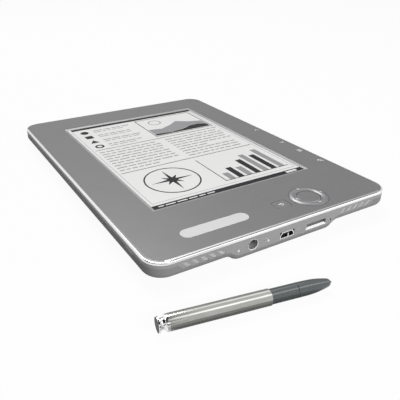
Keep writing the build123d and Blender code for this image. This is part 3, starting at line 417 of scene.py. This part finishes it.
class READER_OT_page(bpy.types.Operator):
    """Finish the display and lay a plain page on it"""

    bl_idname = "reader.page"
    bl_label = "Finish the display"

    def execute(self, context):
        look = context.scene.reader_page
        low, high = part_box("screen_frame")
        left, right = low.x / MM + FRAME_SHOWN, high.x / MM - FRAME_SHOWN
        foot, top = low.y / MM + FRAME_SHOWN, high.y / MM - FRAME_SHOWN
        width = right - left
        ink_height = look.ink_height
        bar_top = foot + look.bar_height / MM
        plane = flat_on(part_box("epaper_panel")[1].z)
        # Matt paper-like film over pigment capsules: near white, with a speck of about 0.2 mm
        # that is drawn 0.6 mm wide to show.
        paper = grain_finish(
            "matt_display_film", look.paper, linear("DCDCDB"),
            metallic=0.0, roughness=0.55, grain=0.6, relief=0.001, IOR=1.49)
        # Pigment at its dark, middle and light levels under the same film: a soft black that
        # mirrors little, an even grey, and the page's own white.
        black = grain_finish(
            "display_black", look.ink, linear("242426"),
            metallic=0.0, roughness=0.6, grain=0.6, relief=0.001,
            IOR=1.49, Specular_IOR_Level=0.15)
        grey = grain_finish(
            "display_grey", look.grey, linear("8D8D8F"),
            metallic=0.0, roughness=0.55, grain=0.6, relief=0.001, IOR=1.49)
        pale = grain_finish(
            "display_pale", look.paper, linear("D8D8D8"),
            metallic=0.0, roughness=0.55, grain=0.6, relief=0.001, IOR=1.49)
        # Painted bezel: smooth, a little glossy and darker than the page.
        bezel = grain_finish(
            "painted_bezel", linear("A2A2A2"), linear("989898"),
            metallic=0.0, roughness=0.4, grain=0.5, relief=0.001, IOR=1.5)
        dress(paper, "epaper_panel")
        dress(bezel, "screen_frame")

        def at(u, v):
            """A point of the page's plan in the face's plan."""
            return left + u, foot + v

        def slab(bm, outline, hole=None):
            prism(bm, plane, outline, 0, ink_height, hole=hole)

        def loop(bm, middle, radius, hole_radius, count=40):
            slab(bm, round_outline(*middle, radius, count),
                 round_outline(*middle, hole_radius, count))

        def bars(bm, rows, low=0, high=ink_height):
            """Upright bars, each given by its left, foot, length and height."""
            for u, v, length, height in rows:
                a, b = at(u, v)
                prism(bm, plane, box_outline(a, b, a + length, b + height), low, high)

        def columns(bm, first):
            """Every second column of the chart."""
            bars(bm, [
                (COLUMN_LEFT + COLUMN_PITCH * i, COLUMN_FOOT, COLUMN_WIDTH, COLUMN_HEIGHTS[i])
                for i in range(first, len(COLUMN_HEIGHTS), 2)])

        def frame_ring(bm, u0, v0, u1, v1, line):
            outer = box_outline(*at(u0, v0), *at(u1, v1))
            inner = box_outline(*at(u0 + line, v0 + line), *at(u1 - line, v1 - line))
            slab(bm, outer, inner)

        def words(u0, u1, v, height, shift):
            """A line of word-like bars between u0 and u1."""
            made = []
            u = u0
            step = shift
            while u < u1 - 2:
                step = (step * 37 + look.word_seed * 11 + 5) % STEPS_OF_WORDS
                length = min(WORD_SHORTEST + WORD_SPAN * step / STEPS_OF_WORDS, u1 - u)
                made.append((u, v, length, height))
                u += length + WORD_GAP
            return made

        def build_black(bm):
            # foot bar and head bar
            slab(bm, box_outline(left, foot, right, bar_top))
            slab(bm, box_outline(left + 2, top - 3.4, right, top - 0.2))
            # picture frame, with its near hill
            frame_ring(bm, *PICTURE, PICTURE_LINE)
            slab(bm, [at(*corner) for corner in NEAR_HILL])
            # list marks: disc, square, triangle, ring
            slab(bm, round_outline(*at(*DISC), DISC_RADIUS))
            slab(bm, box_outline(*at(*SQUARE[:2]), *at(*SQUARE[2:])))
            slab(bm, round_outline(*at(*TRIANGLE), TRIANGLE_RADIUS, count=3, start=pi / 2))
            loop(bm, at(*LOOP), LOOP_RADIUS, LOOP_HOLE)
            # rules across the page
            bars(bm, [(RULE_INSET, v, width - 2 * RULE_INSET, RULE_LINE) for v in RULES])
            # rose of eight points in its ring
            u, v = at(*ROSE)
            loop(bm, (u, v), ROSE_RADIUS, ROSE_HOLE, 64)
            star = []
            for i in range(16):
                reach, turn = ROSE_REACH[i % 4], pi * i / 8 + pi / 2
                star.append((u + reach * cos(turn), v + reach * sin(turn)))
            slab(bm, star)
            # chart
            bars(bm, AXES)
            columns(bm, 1)

        def build_grey(bm):
            # far hill and the sun's ring
            slab(bm, [at(*corner) for corner in FAR_HILL])
            loop(bm, at(*SUN), SUN_RADIUS, SUN_HOLE)
            # two lines of words beside each list mark
            for row, v in enumerate(LIST_ROWS):
                bars(bm, words(14, 40 - 4 * (row % 2), v, 1.1, 3 + row))
                bars(bm, words(14, 34 + 3 * (row % 3), v - 2.6, 0.8, 13 + row))
            # two columns of words, each with one short line
            for line in range(TEXT_LINES):
                v = TEXT_TOP - LINE_PITCH * line
                bars(bm, words(4, 42 if line != 8 else 28, v, 1.0, 23 + line))
                bars(bm, words(47, 86 if line != 5 else 66, v, 1.0, 43 + line))
            columns(bm, 0)
            frame_ring(bm, 1.6, 5.6, width - 1.6, top - foot - 1.8, HAIRLINE)

        def build_pale(bm):
            # words and a page box on the foot bar
            marks = words(3, 34, 1.5, 0.8, 61) + [(width - 11, 0.9, 7, 1.8)]
            bars(bm, marks, ink_height, 2 * ink_height)

        piece("page_black_marks", build_black, black, DEVICE)
        piece("page_grey_marks", build_grey, grey, DEVICE)
        piece("page_pale_marks", build_pale, pale, DEVICE)
        return {"FINISHED"}


# ---------------- keys and their marks
SIDE_MARK_X = 61.6  # middle of the side keys' marks on the face, in millimetres
CHEVRON_HALF, CHEVRON_FOOT, CHEVRON_TIP = 1.3, 0.7, 0.9
MENU_RISES, MENU_HALF, MENU_LINE = (-1.1, 0, 1.1), 1.2, 0.25  # half length and half height
LENS_RADIUS, LENS_HOLE = 1.15, 0.75


class READER_OT_keys(bpy.types.Operator):
    """Finish the keys and print the marks beside them"""

    bl_idname = "reader.keys"
    bl_label = "Finish the keys"

    def execute(self, context):
        look = context.scene.reader_case
        # The rocker is the plate's own metal, turned and part polished, so its ridge takes
        # soft bright arcs.
        rocker = grain_finish(
            "turned_aluminium", linear("8C8C8E"), linear("828284"),
            metallic=0.6, roughness=0.4, grain=0.5, relief=0.001, spread=0.04)
        # The four arrows and the edge of the centre key are cut bright.
        bright = grain_finish(
            "bright_cut_arrow", linear("CECED0"), linear("C0C0C2"),
            metallic=0.4, roughness=0.4, grain=0.5, relief=0.001, spread=0.04)
        # Blasted like the plate and rubbed smooth: the plate's grey with a clearer metal sheen.
        key = grain_finish(
            "satin_key_metal", look.face, look.face_shade,
            metallic=0.55, roughness=0.42, grain=0.5, relief=0.003)
        # Moulded ABS of the edge keys: a plain grey, smoother than the back cover.
        edge = grain_finish(
            "moulded_key_abs", linear("8E8E90"), linear("858587"),
            metallic=0.0, roughness=0.38, grain=0.4, relief=0.003, IOR=1.54)
        # Pad-printed white ink, slightly uneven.
        mark = grain_finish(
            "printed_white", look.mark, linear("E6E6E6"),
            metallic=0.0, roughness=0.45, grain=0.4, relief=0.001, IOR=1.5)
        arrow_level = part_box("nav_rocker")[1].z - 0.02 * MM
        dress(rocker, "nav_rocker")
        dress_faces(
            bright, "nav_rocker",
            lambda face: face.normal.z > 0.999 and face.center.z > arrow_level)
        dress(key, "centre_key", "back_key")
        dress_faces(bright, "centre_key", lambda face: 0.3 < face.normal.z < 0.95)
        dress(edge, "page_back_key", "page_forward_key", "menu_key", "zoom_key", "power_key")

        high = look.mark_height
        stroke = look.stroke / MM
        plate = flat_on(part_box("front_plate")[1].z)

        def back_arrow(bm):
            """An arrow that bends back to the left."""
            low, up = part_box("back_key")
            u, v = (low.x + up.x) / 2 / MM, (low.y + up.y) / 2 / MM
            top = flat_on(up.z)
            line = [(u - 0.7, v + 0.5), (u + 0.5, v + 0.5)]
            line += arc_points(u + 0.5, v - 0.1, 0.6, 90, -90)
            line += [(u - 0.7, v - 0.7)]
            prism(bm, top, stroke_outline(line, 0.7 * stroke), 0, high)
            head = [(u - 1.5, v + 0.5), (u - 0.7, v + 1.1), (u - 0.7, v - 0.1)]
            prism(bm, top, head, 0, high)

        def side_marks(bm):
            """Two chevrons, three lines and a magnifier, each beside its key."""
            u = SIDE_MARK_X
            middle = {
                name: (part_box(name)[0].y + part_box(name)[1].y) / 2 / MM
                for name in ("page_back_key", "page_forward_key", "menu_key", "zoom_key")
            }
            for name, way in (("page_back_key", 1), ("page_forward_key", -1)):
                v = middle[name]
                chevron = [
                    (u - CHEVRON_HALF, v - way * CHEVRON_FOOT), (u, v + way * CHEVRON_TIP),
                    (u + CHEVRON_HALF, v - way * CHEVRON_FOOT)]
                prism(bm, plate, stroke_outline(chevron, stroke), 0, high)
            v = middle["menu_key"]
            for rise in MENU_RISES:
                line = box_outline(
                    u - MENU_HALF, v + rise - MENU_LINE, u + MENU_HALF, v + rise + MENU_LINE)
                prism(bm, plate, line, 0, high)
            v = middle["zoom_key"]
            lens = (u - 0.3, v + 0.3)
            prism(bm, plate, round_outline(*lens, LENS_RADIUS, 32), 0, high,
                  hole=round_outline(*lens, LENS_HOLE, 32))
            handle = [(u + 0.5, v - 0.5), (u + 1.4, v - 1.4)]
            prism(bm, plate, stroke_outline(handle, stroke), 0, high)

        piece("back_key_mark", back_arrow, mark, "back_key")
        piece("side_key_marks", side_marks, mark, DEVICE)
        return {"FINISHED"}


# ---------------- ports
# The port edge's elevation, in millimetres across and above the belly.
HEADPHONE_MARK, PRONG_MARK = (-11.0, 6.0), (6.4, 6.0)
CONTACT_PITCH, CONTACT_HALF, CONTACT_THICKNESS = 0.8, 0.2, 0.12
LIP_STEPS = ((2.42, 0.0), (2.42, 0.02), (2.68, 0.14), (2.72, 0.0))  # radius and height
LIP_POINTS = 48
LOUVRE_MIDDLE, LOUVRE_PITCH = 42.3, 4.1  # middle of each group of five, and one to the next
GAUZE_MIDDLE, GAUZE_RISE, GAUZE_HALF = 7.4, 1.14, 1.04  # leaves 0.06 mm to the louvre
GAUZE_BACK, GAUZE_FRONT = -0.45, -0.2


class READER_OT_ports(bpy.types.Operator):
    """Finish the sockets, speakers and lights in the port edge"""

    bl_idname = "reader.ports"
    bl_label = "Finish the ports"

    def execute(self, context):
        look = context.scene.reader_case
        # Tin-plated spring steel: a pale, soft mirror.
        shell = grain_finish(
            "tin_plated_steel", linear("E8E8E8"), linear("D8D8D8"),
            metallic=1.0, roughness=0.22, grain=0.5, relief=0.001)
        # Moulded black nylon: deep, even and a little shiny.
        black = grain_finish(
            "black_nylon", linear("1C1C1E"), linear("242426"),
            metallic=0.0, roughness=0.45, grain=0.3, relief=0.003, IOR=1.53)
        # Moulded grey nylon, made light so the sockets' holes don't go black: painted light in
        # their shade.
        jack = grain_finish(
            "grey_socket_nylon", linear("A4A4A6"), linear("989899"),
            metallic=0.0, roughness=0.4, grain=0.3, relief=0.003, IOR=1.53)
        # The same nylon, darker at the socket's front end: a painted shade ring round the hole.
        dull = grain_finish(
            "grey_socket_face", linear("646466"), linear("5A5A5C"),
            metallic=0.0, roughness=0.45, grain=0.3, relief=0.003, IOR=1.53)
        # Frosted acrylic rods: small white dots, as nothing shines in them.
        pipe = grain_finish(
            "frosted_light_pipe", linear("F4F4F4"), linear("EAEAEA"),
            metallic=0.0, roughness=0.35, grain=0.3, relief=0.001, IOR=1.49)
        # Woven steel, painted: a light grey without a mirror. Its 0.1 mm wires are too fine
        # to show and are drawn as a grain of 0.5 mm.
        gauze = grain_finish(
            "painted_steel_mesh", linear("B4B4B4"), linear("A2A2A2"),
            metallic=0.0, roughness=0.5, grain=0.5, relief=0.02, spread=0.1)
        # The same gauze let into the louvres, paler than the panel: painted light over the slots'
        # shade.
        louvre_painted_light = grain_finish(
            "pale_sprayed_gauze", linear("C0C0C0"), linear("B0B0B0"),
            metallic=0.0, roughness=0.5, grain=0.3, relief=0.004)
        # Gold over nickel: warm, fine glints in the dark mouth of the socket.
        gold = grain_finish(
            "gold_plated_contact", linear("C9A24C"), linear("B8923F"),
            metallic=1.0, roughness=0.25, grain=0.3, relief=0.001)
        # Marks moulded in and only rubbed with white, so they stay faint.
        faint = grain_finish(
            "rubbed_white", linear("C4C4C4"), linear("B8B8B8"),
            metallic=0.0, roughness=0.5, grain=0.4, relief=0.001, IOR=1.5)
        mark = bpy.data.materials["printed_white"]
        dress(shell, "usb_socket")
        dress(black, "usb_tongue", "speaker_left", "speaker_right")
        # painted light inside the headphone and card sockets
        dress(jack, "headphone_jack", "card_socket")
        # painted shade: the socket's front end darker than its walls
        dress_faces(dull, "headphone_jack", lambda face: face.normal.y < -0.9)
        dress(pipe, "indicator_lights")
        dress(gauze, "speaker_mesh")
        wall = upright_on(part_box("port_panel")[0].y)
        high = look.mark_height

        def contacts(bm):
            """Five gold strips under the tongue."""
            low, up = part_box("usb_tongue")
            middle, below = (low.x + up.x) / 2 / MM, low.z / MM
            tongue_end = upright_on(low.y)
            for i in range(5):
                u = middle + CONTACT_PITCH * (i - 2)
                strip = box_outline(
                    u - CONTACT_HALF, below - CONTACT_THICKNESS, u + CONTACT_HALF, below)
                prism(bm, tongue_end, strip, -4 * MM, -0.2 * MM)

        def reflection_tab(bm):
            """A tin-plated tab standing up inside the socket's mouth: partly its retaining
            spring, partly a painted reflection.
            """
            low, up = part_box("usb_socket")
            u = low.x / MM + 0.62 * (up.x - low.x) / MM
            foot, middle = low.z / MM + 0.45, (low.z + up.z) / 2 / MM + 0.2
            tab = box_outline(u - 0.3, foot, u + 0.3, middle)
            prism(bm, upright_on(low.y), tab, -0.5 * MM, -0.3 * MM)

        def port_marks(bm):
            """Headphones beside their socket, and three prongs beside the data socket."""
            u, v = HEADPHONE_MARK
            band, cup = 0.7, 0.18  # radius of the band, and half width of a cup
            prism(bm, wall, stroke_outline(arc_points(u, v, band, 0, 180), cup), 0, high)
            for side in (-1, 1):
                middle = u + side * band
                prism(bm, wall, box_outline(middle - cup, v - 0.7, middle + cup, v), 0, high)
            u, v = PRONG_MARK
            for strip in (
                (u - 0.9, v - 0.07, u + 0.9, v + 0.07),
                (u - 0.2, v + 0.07, u - 0.06, v + 0.6),
                (u + 0.1, v - 0.6, u + 0.24, v - 0.07),
            ):
                prism(bm, wall, box_outline(*strip), 0, high)

        def louvre_gauze(bm):
            """Pale gauze let into each slanted louvre, just under the wall's surface: painted
            light over the slots' shade.
            """
            for side in (-1, 1):
                for i in range(-2, 3):
                    middle = LOUVRE_MIDDLE + LOUVRE_PITCH * i
                    outline = [
                        (side * (middle + GAUZE_RISE * rise + GAUZE_HALF * across),
                         GAUZE_MIDDLE + GAUZE_RISE * rise)
                        for rise, across in ((-1, -1), (-1, 1), (1, 1), (1, -1))
                    ]
                    prism(bm, wall, outline, GAUZE_BACK * MM, GAUZE_FRONT * MM)

        def socket_lip(bm):
            """A white lip round the headphone socket, whose inner side slopes down to the hole: a
            painted highlight on the socket's rim.
            """
            low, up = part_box("headphone_jack")
            u, v = (low.x + up.x) / 2 / MM, (low.z + up.z) / 2 / MM
            rings = [
                [bm.verts.new(wall(a, b, h * MM)) for a, b in round_outline(u, v, r, LIP_POINTS)]
                for r, h in LIP_STEPS
            ]
            for ring, after in zip(rings, rings[1:] + rings[:1]):
                for i in range(LIP_POINTS):
                    j = (i + 1) % LIP_POINTS
                    bm.faces.new((ring[i], ring[j], after[j], after[i]))

        piece("usb_contacts", contacts, gold, DEVICE)
        # bright tab: partly a painted reflection in the socket's mouth
        piece("usb_spring_tab", reflection_tab, shell, DEVICE)
        # the lip is white: a painted highlight round the headphone socket
        piece("socket_lip", socket_lip, mark, DEVICE)
        piece("port_marks", port_marks, faint, DEVICE)
        # pale gauze: painted light filling the louvres
        piece("louvre_gauze", louvre_gauze, louvre_painted_light, DEVICE)
        return {"FINISHED"}


# ---------------- inner parts
class READER_OT_inner(bpy.types.Operator):
    """Finish the circuit boards, battery, carrier and switches inside the case"""

    bl_idname = "reader.inner"
    bl_label = "Finish the inner parts"

    def execute(self, context):
        # Glass epoxy under green solder mask: a dark green with a waxy sheen.
        board = grain_finish(
            "glass_epoxy_green", linear("1F5B34"), linear("194B2B"),
            metallic=0.0, roughness=0.4, grain=0.8, relief=0.01, IOR=1.55)
        # Die-cast magnesium: a dull metal, clouded where the melt flowed.
        carrier = grain_finish(
            "cast_magnesium", linear("8F9194"), linear("7E8083"),
            metallic=0.8, roughness=0.5, grain=0.6, relief=0.01)
        # Laminated foil drawn round the cell: bright, with soft dents some 3 mm wide.
        foil = grain_finish(
            "battery_foil_wrap", linear("C4C6C8"), linear("B2B4B6"),
            metallic=0.9, roughness=0.35, grain=3.0, relief=0.04)
        # Pressed nickel silver: a smooth pale metal, a little yellow.
        can = grain_finish(
            "nickel_silver_can", linear("B8B8B4"), linear("A9A9A5"),
            metallic=1.0, roughness=0.3, grain=0.5, relief=0.002)
        # Polyimide film over copper: a glossy amber.
        film = grain_finish(
            "polyimide_film", linear("B4701E"), linear("A56417"),
            metallic=0.0, roughness=0.3, grain=1.0, relief=0.002, IOR=1.7)
        black = bpy.data.materials["black_nylon"]
        dress(board, "main_board", "side_board", "pen_sensor_board")
        dress(carrier, "mid_frame", "nav_pivot_ring")
        dress(foil, "battery")
        dress(can, "processor_shield", "dome_switches")
        dress(film, "display_flex")
        dress(black, "display_connector", "reset_switch", "side_switches", "power_switch")
        dress(bpy.data.materials["frosted_light_pipe"], "light_emitters")
        return {"FINISHED"}


# ---------------- stylus
BRUSH_WIDTH = 0.25  # width a brushed line is drawn at, in millimetres


def stylus_way():
    """The way the stylus points on the table, from its end disc to its nib."""
    tail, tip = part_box("stylus_end_disc"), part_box("stylus_nib")
    return (tip[0] + tip[1] - tail[0] - tail[1]).to_2d()


class READER_OT_stylus(bpy.types.Operator):
    """Finish the stylus"""

    bl_idname = "reader.stylus"
    bl_label = "Finish the stylus"

    def execute(self, context):
        look = context.scene.reader_stylus
        # Stainless tube brushed along its length: the lines are 0.05 mm apart and are drawn
        # 0.25 mm wide; they spread each highlight into long soft streaks.
        steel = grain_finish(
            "brushed_stainless", look.sleeve, linear("A4A4A0"),
            metallic=1.0, roughness=0.14, grain=BRUSH_WIDTH, relief=0.004, spread=0.05,
            stretch=(BRUSH_WIDTH / (look.brush_length / MM), 1, 1),
            turn=stylus_way().angle_signed(Vector((1, 0))))
        # Chrome plate over turned brass: a hard mirror.
        chrome = grain_finish(
            "chrome_plate", linear("F2F2F2"), linear("EAEAEA"),
            metallic=1.0, roughness=0.05, grain=1.0, relief=0.0005, spread=0.02)
        # ABS from a polished mould: a dark grey-green that takes one narrow streak.
        grip = grain_finish(
            "moulded_pen_abs", look.grip, linear("2E3637"),
            metallic=0.0, roughness=0.14, grain=0.3, relief=0.001,
            IOR=1.54, Specular_IOR_Level=1.0)
        # Painted disc: a flat dark grey inside the bright collar.
        disc = grain_finish(
            "painted_disc", look.disc, linear("2C2C2C"),
            metallic=0.0, roughness=0.45, grain=0.3, relief=0.002,
            IOR=1.5, Specular_IOR_Level=0.25)
        # Polyacetal, turned: waxy and lighter than the nose.
        nib = grain_finish(
            "polyacetal_nib", linear("4A5052"), linear("43494B"),
            metallic=0.0, roughness=0.4, grain=0.2, relief=0.001, IOR=1.48)
        # Enamelled copper wire wound in rows: a warm metal, ribbed at 0.2 mm.
        coil = grain_finish(
            "enamelled_copper", linear("B06A3B"), linear("8E4E28"),
            metallic=1.0, roughness=0.3, grain=0.2, relief=0.02)
        dress(steel, "stylus_sleeve")
        dress(chrome, "stylus_collar")
        dress(grip, "stylus_grip", "stylus_nose")
        dress(disc, "stylus_end_disc")
        dress(nib, "stylus_nib")
        dress(coil, "stylus_coil")
        return {"FINISHED"}


# ---------------- stage
BACK_RIGHT = (0.643, 0.766, 0.0)  # the way to the middle of the backdrop
DIM_FROM, DIM_TO = 0.25, 0.7  # heights between which the backdrop's dim foot ends
NEAR_FROM, NEAR_TO = 0.45, 0.75  # nearness to the way back right at which the backdrop starts
SKY = 1.05  # strength away from the backdrop
# Bands that mirrors see round the front of the studio: degrees from the table's front edge up
# and over to the back, and shares of the full band strength.
BAND_START, BAND_END = -20, 160
BAND_STRENGTH = 2.5
DARK, EVEN, DULL, LIT = 0.01, 0.4, 0.38, 0.95
LEFT_BANDS = (
    (-9, EVEN), (-6, DARK), (18, DARK), (20, EVEN),
    (38, EVEN), (40, DARK), (118, DARK), (121, EVEN))
RIGHT_BANDS = ((52, DULL), (57, LIT), (73, LIT), (78, DULL))
RIGHT_FROM, RIGHT_TO = 0.233, 0.237  # rightness along the stylus at which the right side starts
FLOOR_SHARE, FLOOR_GLOW = 0.9, 1.06  # how far the floor is seen to glow, and how strongly
# a painted shadow on the floor under the stylus, which only mirrors see
SHADOW_SHIFT, SHADOW_HALF = (0.008, -0.012), (0.034, 0.022)  # from the sleeve's middle, in metres
SHADOW_FROM, SHADOW_TO = 0.9, 1.1  # soft edge of the patch, as shares of its half size
LAMPS_AIM = Vector((0, -0.03, 0))
# name, place, width, height, power setting, seen by mirrors
LAMPS = (
    ("back_softbox", (0.10, 0.59, 1.04), 0.5, 0.5, "back_power", True),
    ("back_kicker", (0.51, 0.40, 0.89), 0.3, 0.3, "kicker_power", True),
    ("front_strip", (0.05, -0.85, 0.42), 0.6, 0.15, "front_power", False),
    ("side_softbox", (-0.05, -0.65, 0.42), 0.25, 0.25, "side_power", False),
)


def seen(tree, *kinds):
    """1 where a ray of one of these kinds arrives."""
    path = add_node(tree, "ShaderNodeLightPath")
    some = path.outputs[kinds[0]]
    for kind in kinds[1:]:
        some = add_node(
            tree, "ShaderNodeMath", {0: some, 1: path.outputs[kind]},
            operation="MAXIMUM").outputs[0]
    return some


def bands(tree, place, stops):
    """Band strengths at a place from 0 to 1 between the bands' start and end."""
    made = add_node(tree, "ShaderNodeValToRGB", {"Fac": place})
    ramp = made.color_ramp
    for number, (degrees, share) in enumerate(stops):
        at = (degrees - BAND_START) / (BAND_END - BAND_START)
        stop = ramp.elements[number] if number < 2 else ramp.elements.new(at)
        stop.position = at
        stop.color = (share, share, share, 1)
    return made.outputs["Color"]


def studio_world(look):
    """Plain white to the eye, a weak even light, and a banded studio in mirrors."""
    world = bpy.data.worlds.new("studio_white")
    world.use_nodes = True
    tree = world.node_tree
    direction = add_node(tree, "ShaderNodeTexCoord").outputs["Generated"]
    height = add_node(tree, "ShaderNodeSeparateXYZ", {"Vector": direction}).outputs["Z"]

    # the backdrop falls off towards its foot at the back right, so the face's mirror is dim
    nearness = add_node(
        tree, "ShaderNodeVectorMath", {0: direction, 1: BACK_RIGHT}, operation="DOT_PRODUCT")
    backdrop = add_node(tree, "ShaderNodeMapRange", {
        "Value": height, "From Min": DIM_FROM, "From Max": DIM_TO,
        "To Min": look.dim, "To Max": 1.0})
    sky = add_node(tree, "ShaderNodeMapRange", {
        "Value": nearness.outputs["Value"], "From Min": NEAR_FROM, "From Max": NEAR_TO,
        "To Min": SKY, "To Max": backdrop.outputs[0]})
    # on the left dark flags either side of a lit one, which the chrome collar shows; on the
    # right one lit strip, which is the bright streak along the sleeve and the grip
    along = stylus_way().normalized()
    backness = add_node(
        tree, "ShaderNodeVectorMath", {0: direction, 1: (along.y, -along.x, 0)},
        operation="DOT_PRODUCT")
    rightness = add_node(
        tree, "ShaderNodeVectorMath", {0: direction, 1: (along.x, along.y, 0)},
        operation="DOT_PRODUCT")
    turn = add_node(
        tree, "ShaderNodeMath", {0: height, 1: backness.outputs["Value"]},
        operation="ARCTAN2")
    place = add_node(tree, "ShaderNodeMapRange", {
        "Value": turn.outputs[0],
        "From Min": radians(BAND_START), "From Max": radians(BAND_END)}).outputs[0]
    side = add_node(tree, "ShaderNodeMapRange", {
        "Value": rightness.outputs["Value"], "From Min": RIGHT_FROM, "From Max": RIGHT_TO})
    front = add_node(tree, "ShaderNodeMix", {
        0: side.outputs[0], 6: bands(tree, place, LEFT_BANDS),
        7: bands(tree, place, RIGHT_BANDS)}, data_type="RGBA")
    shaped = add_node(
        tree, "ShaderNodeVectorMath", {0: front.outputs[2], "Scale": BAND_STRENGTH},
        operation="SCALE")
    studio = add_node(
        tree, "ShaderNodeMath", {0: shaped.outputs[0], 1: sky.outputs[0]},
        operation="MULTIPLY")
    light = add_node(tree, "ShaderNodeMapRange", {
        "Value": seen(tree, "Is Glossy Ray", "Is Transmission Ray"),
        "To Min": look.dome, "To Max": studio.outputs[0]})
    strength = add_node(tree, "ShaderNodeMapRange", {
        "Value": seen(tree, "Is Camera Ray"), "To Min": light.outputs[0], "To Max": 1.0})
    back = tree.nodes["Background"]
    back.inputs["Color"].default_value = (1, 1, 1, 1)
    tree.links.new(strength.outputs[0], back.inputs["Strength"])
    return world


def floor_paint(look):
    """Matt floor that takes shadows and is seen as white, also in mirrors, but for a painted
    shadow under the stylus that only mirrors see.
    """
    paint = bpy.data.materials.new("painted_floor")
    paint.use_nodes = True
    tree = paint.node_tree
    tree.nodes.remove(tree.nodes["Principled BSDF"])
    matt = add_node(tree, "ShaderNodeBsdfDiffuse", {"Color": (*look.floor_bounce, 1)})
    glow = add_node(tree, "ShaderNodeEmission", {
        "Color": (*look.floor, 1), "Strength": FLOOR_GLOW})
    # painted shadow: mirrors see a dark patch under the stylus, so that the sleeve's underside
    # reads as round
    low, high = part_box("stylus_sleeve")
    middle = (low + high) / 2
    painted_shadow = add_node(tree, "ShaderNodeMapping", {
        "Vector": add_node(tree, "ShaderNodeTexCoord").outputs["Object"],
        "Location": (middle.x + SHADOW_SHIFT[0], middle.y + SHADOW_SHIFT[1], 0),
        "Scale": (*SHADOW_HALF, 1)}, vector_type="TEXTURE")
    apart = add_node(
        tree, "ShaderNodeVectorMath", {0: painted_shadow.outputs[0]}, operation="LENGTH")
    clear = add_node(tree, "ShaderNodeMapRange", {
        "Value": apart.outputs["Value"], "From Min": SHADOW_FROM, "From Max": SHADOW_TO})
    mirrored = add_node(
        tree, "ShaderNodeMath", {0: seen(tree, "Is Glossy Ray"), 1: clear.outputs[0]},
        operation="MULTIPLY")
    shown = add_node(
        tree, "ShaderNodeMath",
        {0: seen(tree, "Is Camera Ray", "Is Transmission Ray"), 1: mirrored.outputs[0]},
        operation="MAXIMUM")
    share = add_node(
        tree, "ShaderNodeMath", {0: shown.outputs[0], 1: FLOOR_SHARE}, operation="MULTIPLY")
    mixed = add_node(tree, "ShaderNodeMixShader", {
        0: share.outputs[0], 1: matt.outputs[0], 2: glow.outputs[0]})
    tree.links.new(mixed.outputs[0], tree.nodes["Material Output"].inputs["Surface"])
    return paint


def stand(name, data, place, way):
    """A lamp or camera set up at a place and turned to look along a way."""
    made = bpy.data.objects.new(name, data)
    made.location = place
    made.rotation_mode = "QUATERNION"
    made.rotation_quaternion = Vector(way).to_track_quat("-Z", "Y")
    bpy.context.scene.collection.objects.link(made)
    return made


class READER_OT_stage(bpy.types.Operator):
    """Set the floor, the soft lights and the camera"""

    bl_idname = "reader.stage"
    bl_label = "Set the stage"

    def execute(self, context):
        look = context.scene.reader_stage
        scene = context.scene
        scene.view_settings.view_transform = "Standard"
        scene.world = studio_world(look)

        half = look.floor_size / 2
        corners = [(-half, -half, 0), (half, -half, 0), (half, half, 0), (-half, half, 0)]
        mesh = bpy.data.meshes.new("studio_floor")
        mesh.from_pydata(corners, [], [(0, 1, 2, 3)])
        mesh.materials.append(floor_paint(look))
        floor = bpy.data.objects.new("studio_floor", mesh)
        scene.collection.objects.link(floor)

        for name, place, width, height, power, mirrored in LAMPS:
            data = bpy.data.lights.new(name, "AREA")
            data.shape = "RECTANGLE"
            data.size = width
            data.size_y = height
            data.energy = getattr(look, power)
            lamp = stand(name, data, place, LAMPS_AIM - Vector(place))
            lamp.visible_glossy = mirrored

        data = bpy.data.cameras.new("camera")
        data.lens = look.lens
        data.sensor_width = 36
        data.shift_x = look.shift
        data.clip_start = 0.01
        data.clip_end = 20
        scene.camera = stand("camera", data, look.place, look.aim)
        return {"FINISHED"}


# ---------------- panel and registration
STEPS = (
    READER_OT_case, READER_OT_page, READER_OT_keys, READER_OT_ports,
    READER_OT_inner, READER_OT_stylus, READER_OT_stage,
)
LOOKS = {
    "reader_case": ReaderCaseLook,
    "reader_page": ReaderPageLook,
    "reader_stylus": ReaderStylusLook,
    "reader_stage": ReaderStageLook,
}


class READER_PT_panel(bpy.types.Panel):
    """Lists the steps, and under them their settings"""

    bl_idname = "READER_PT_panel"
    bl_label = "Pen reader"
    bl_space_type = "VIEW_3D"
    bl_region_type = "UI"
    bl_category = "Reader"

    def draw(self, context):
        for step in STEPS:
            self.layout.operator(step.bl_idname)
        for name, group in LOOKS.items():
            box = self.layout.box()
            for setting in group.__annotations__:
                box.prop(getattr(context.scene, name), setting)


def register():
    for group in (*LOOKS.values(), *STEPS, READER_PT_panel):
        bpy.utils.register_class(group)
    for name, group in LOOKS.items():
        setattr(bpy.types.Scene, name, PointerProperty(type=group))


def unregister():
    for name in LOOKS:
        delattr(bpy.types.Scene, name)
    for group in (READER_PT_panel, *reversed(STEPS), *LOOKS.values()):
        bpy.utils.unregister_class(group)


def main():
    register()
    bpy.ops.reader.case()
    bpy.ops.reader.page()
    bpy.ops.reader.keys()
    bpy.ops.reader.ports()
    bpy.ops.reader.inner()
    bpy.ops.reader.stylus()
    bpy.ops.reader.stage()


if __name__ == "__main__":
    main()
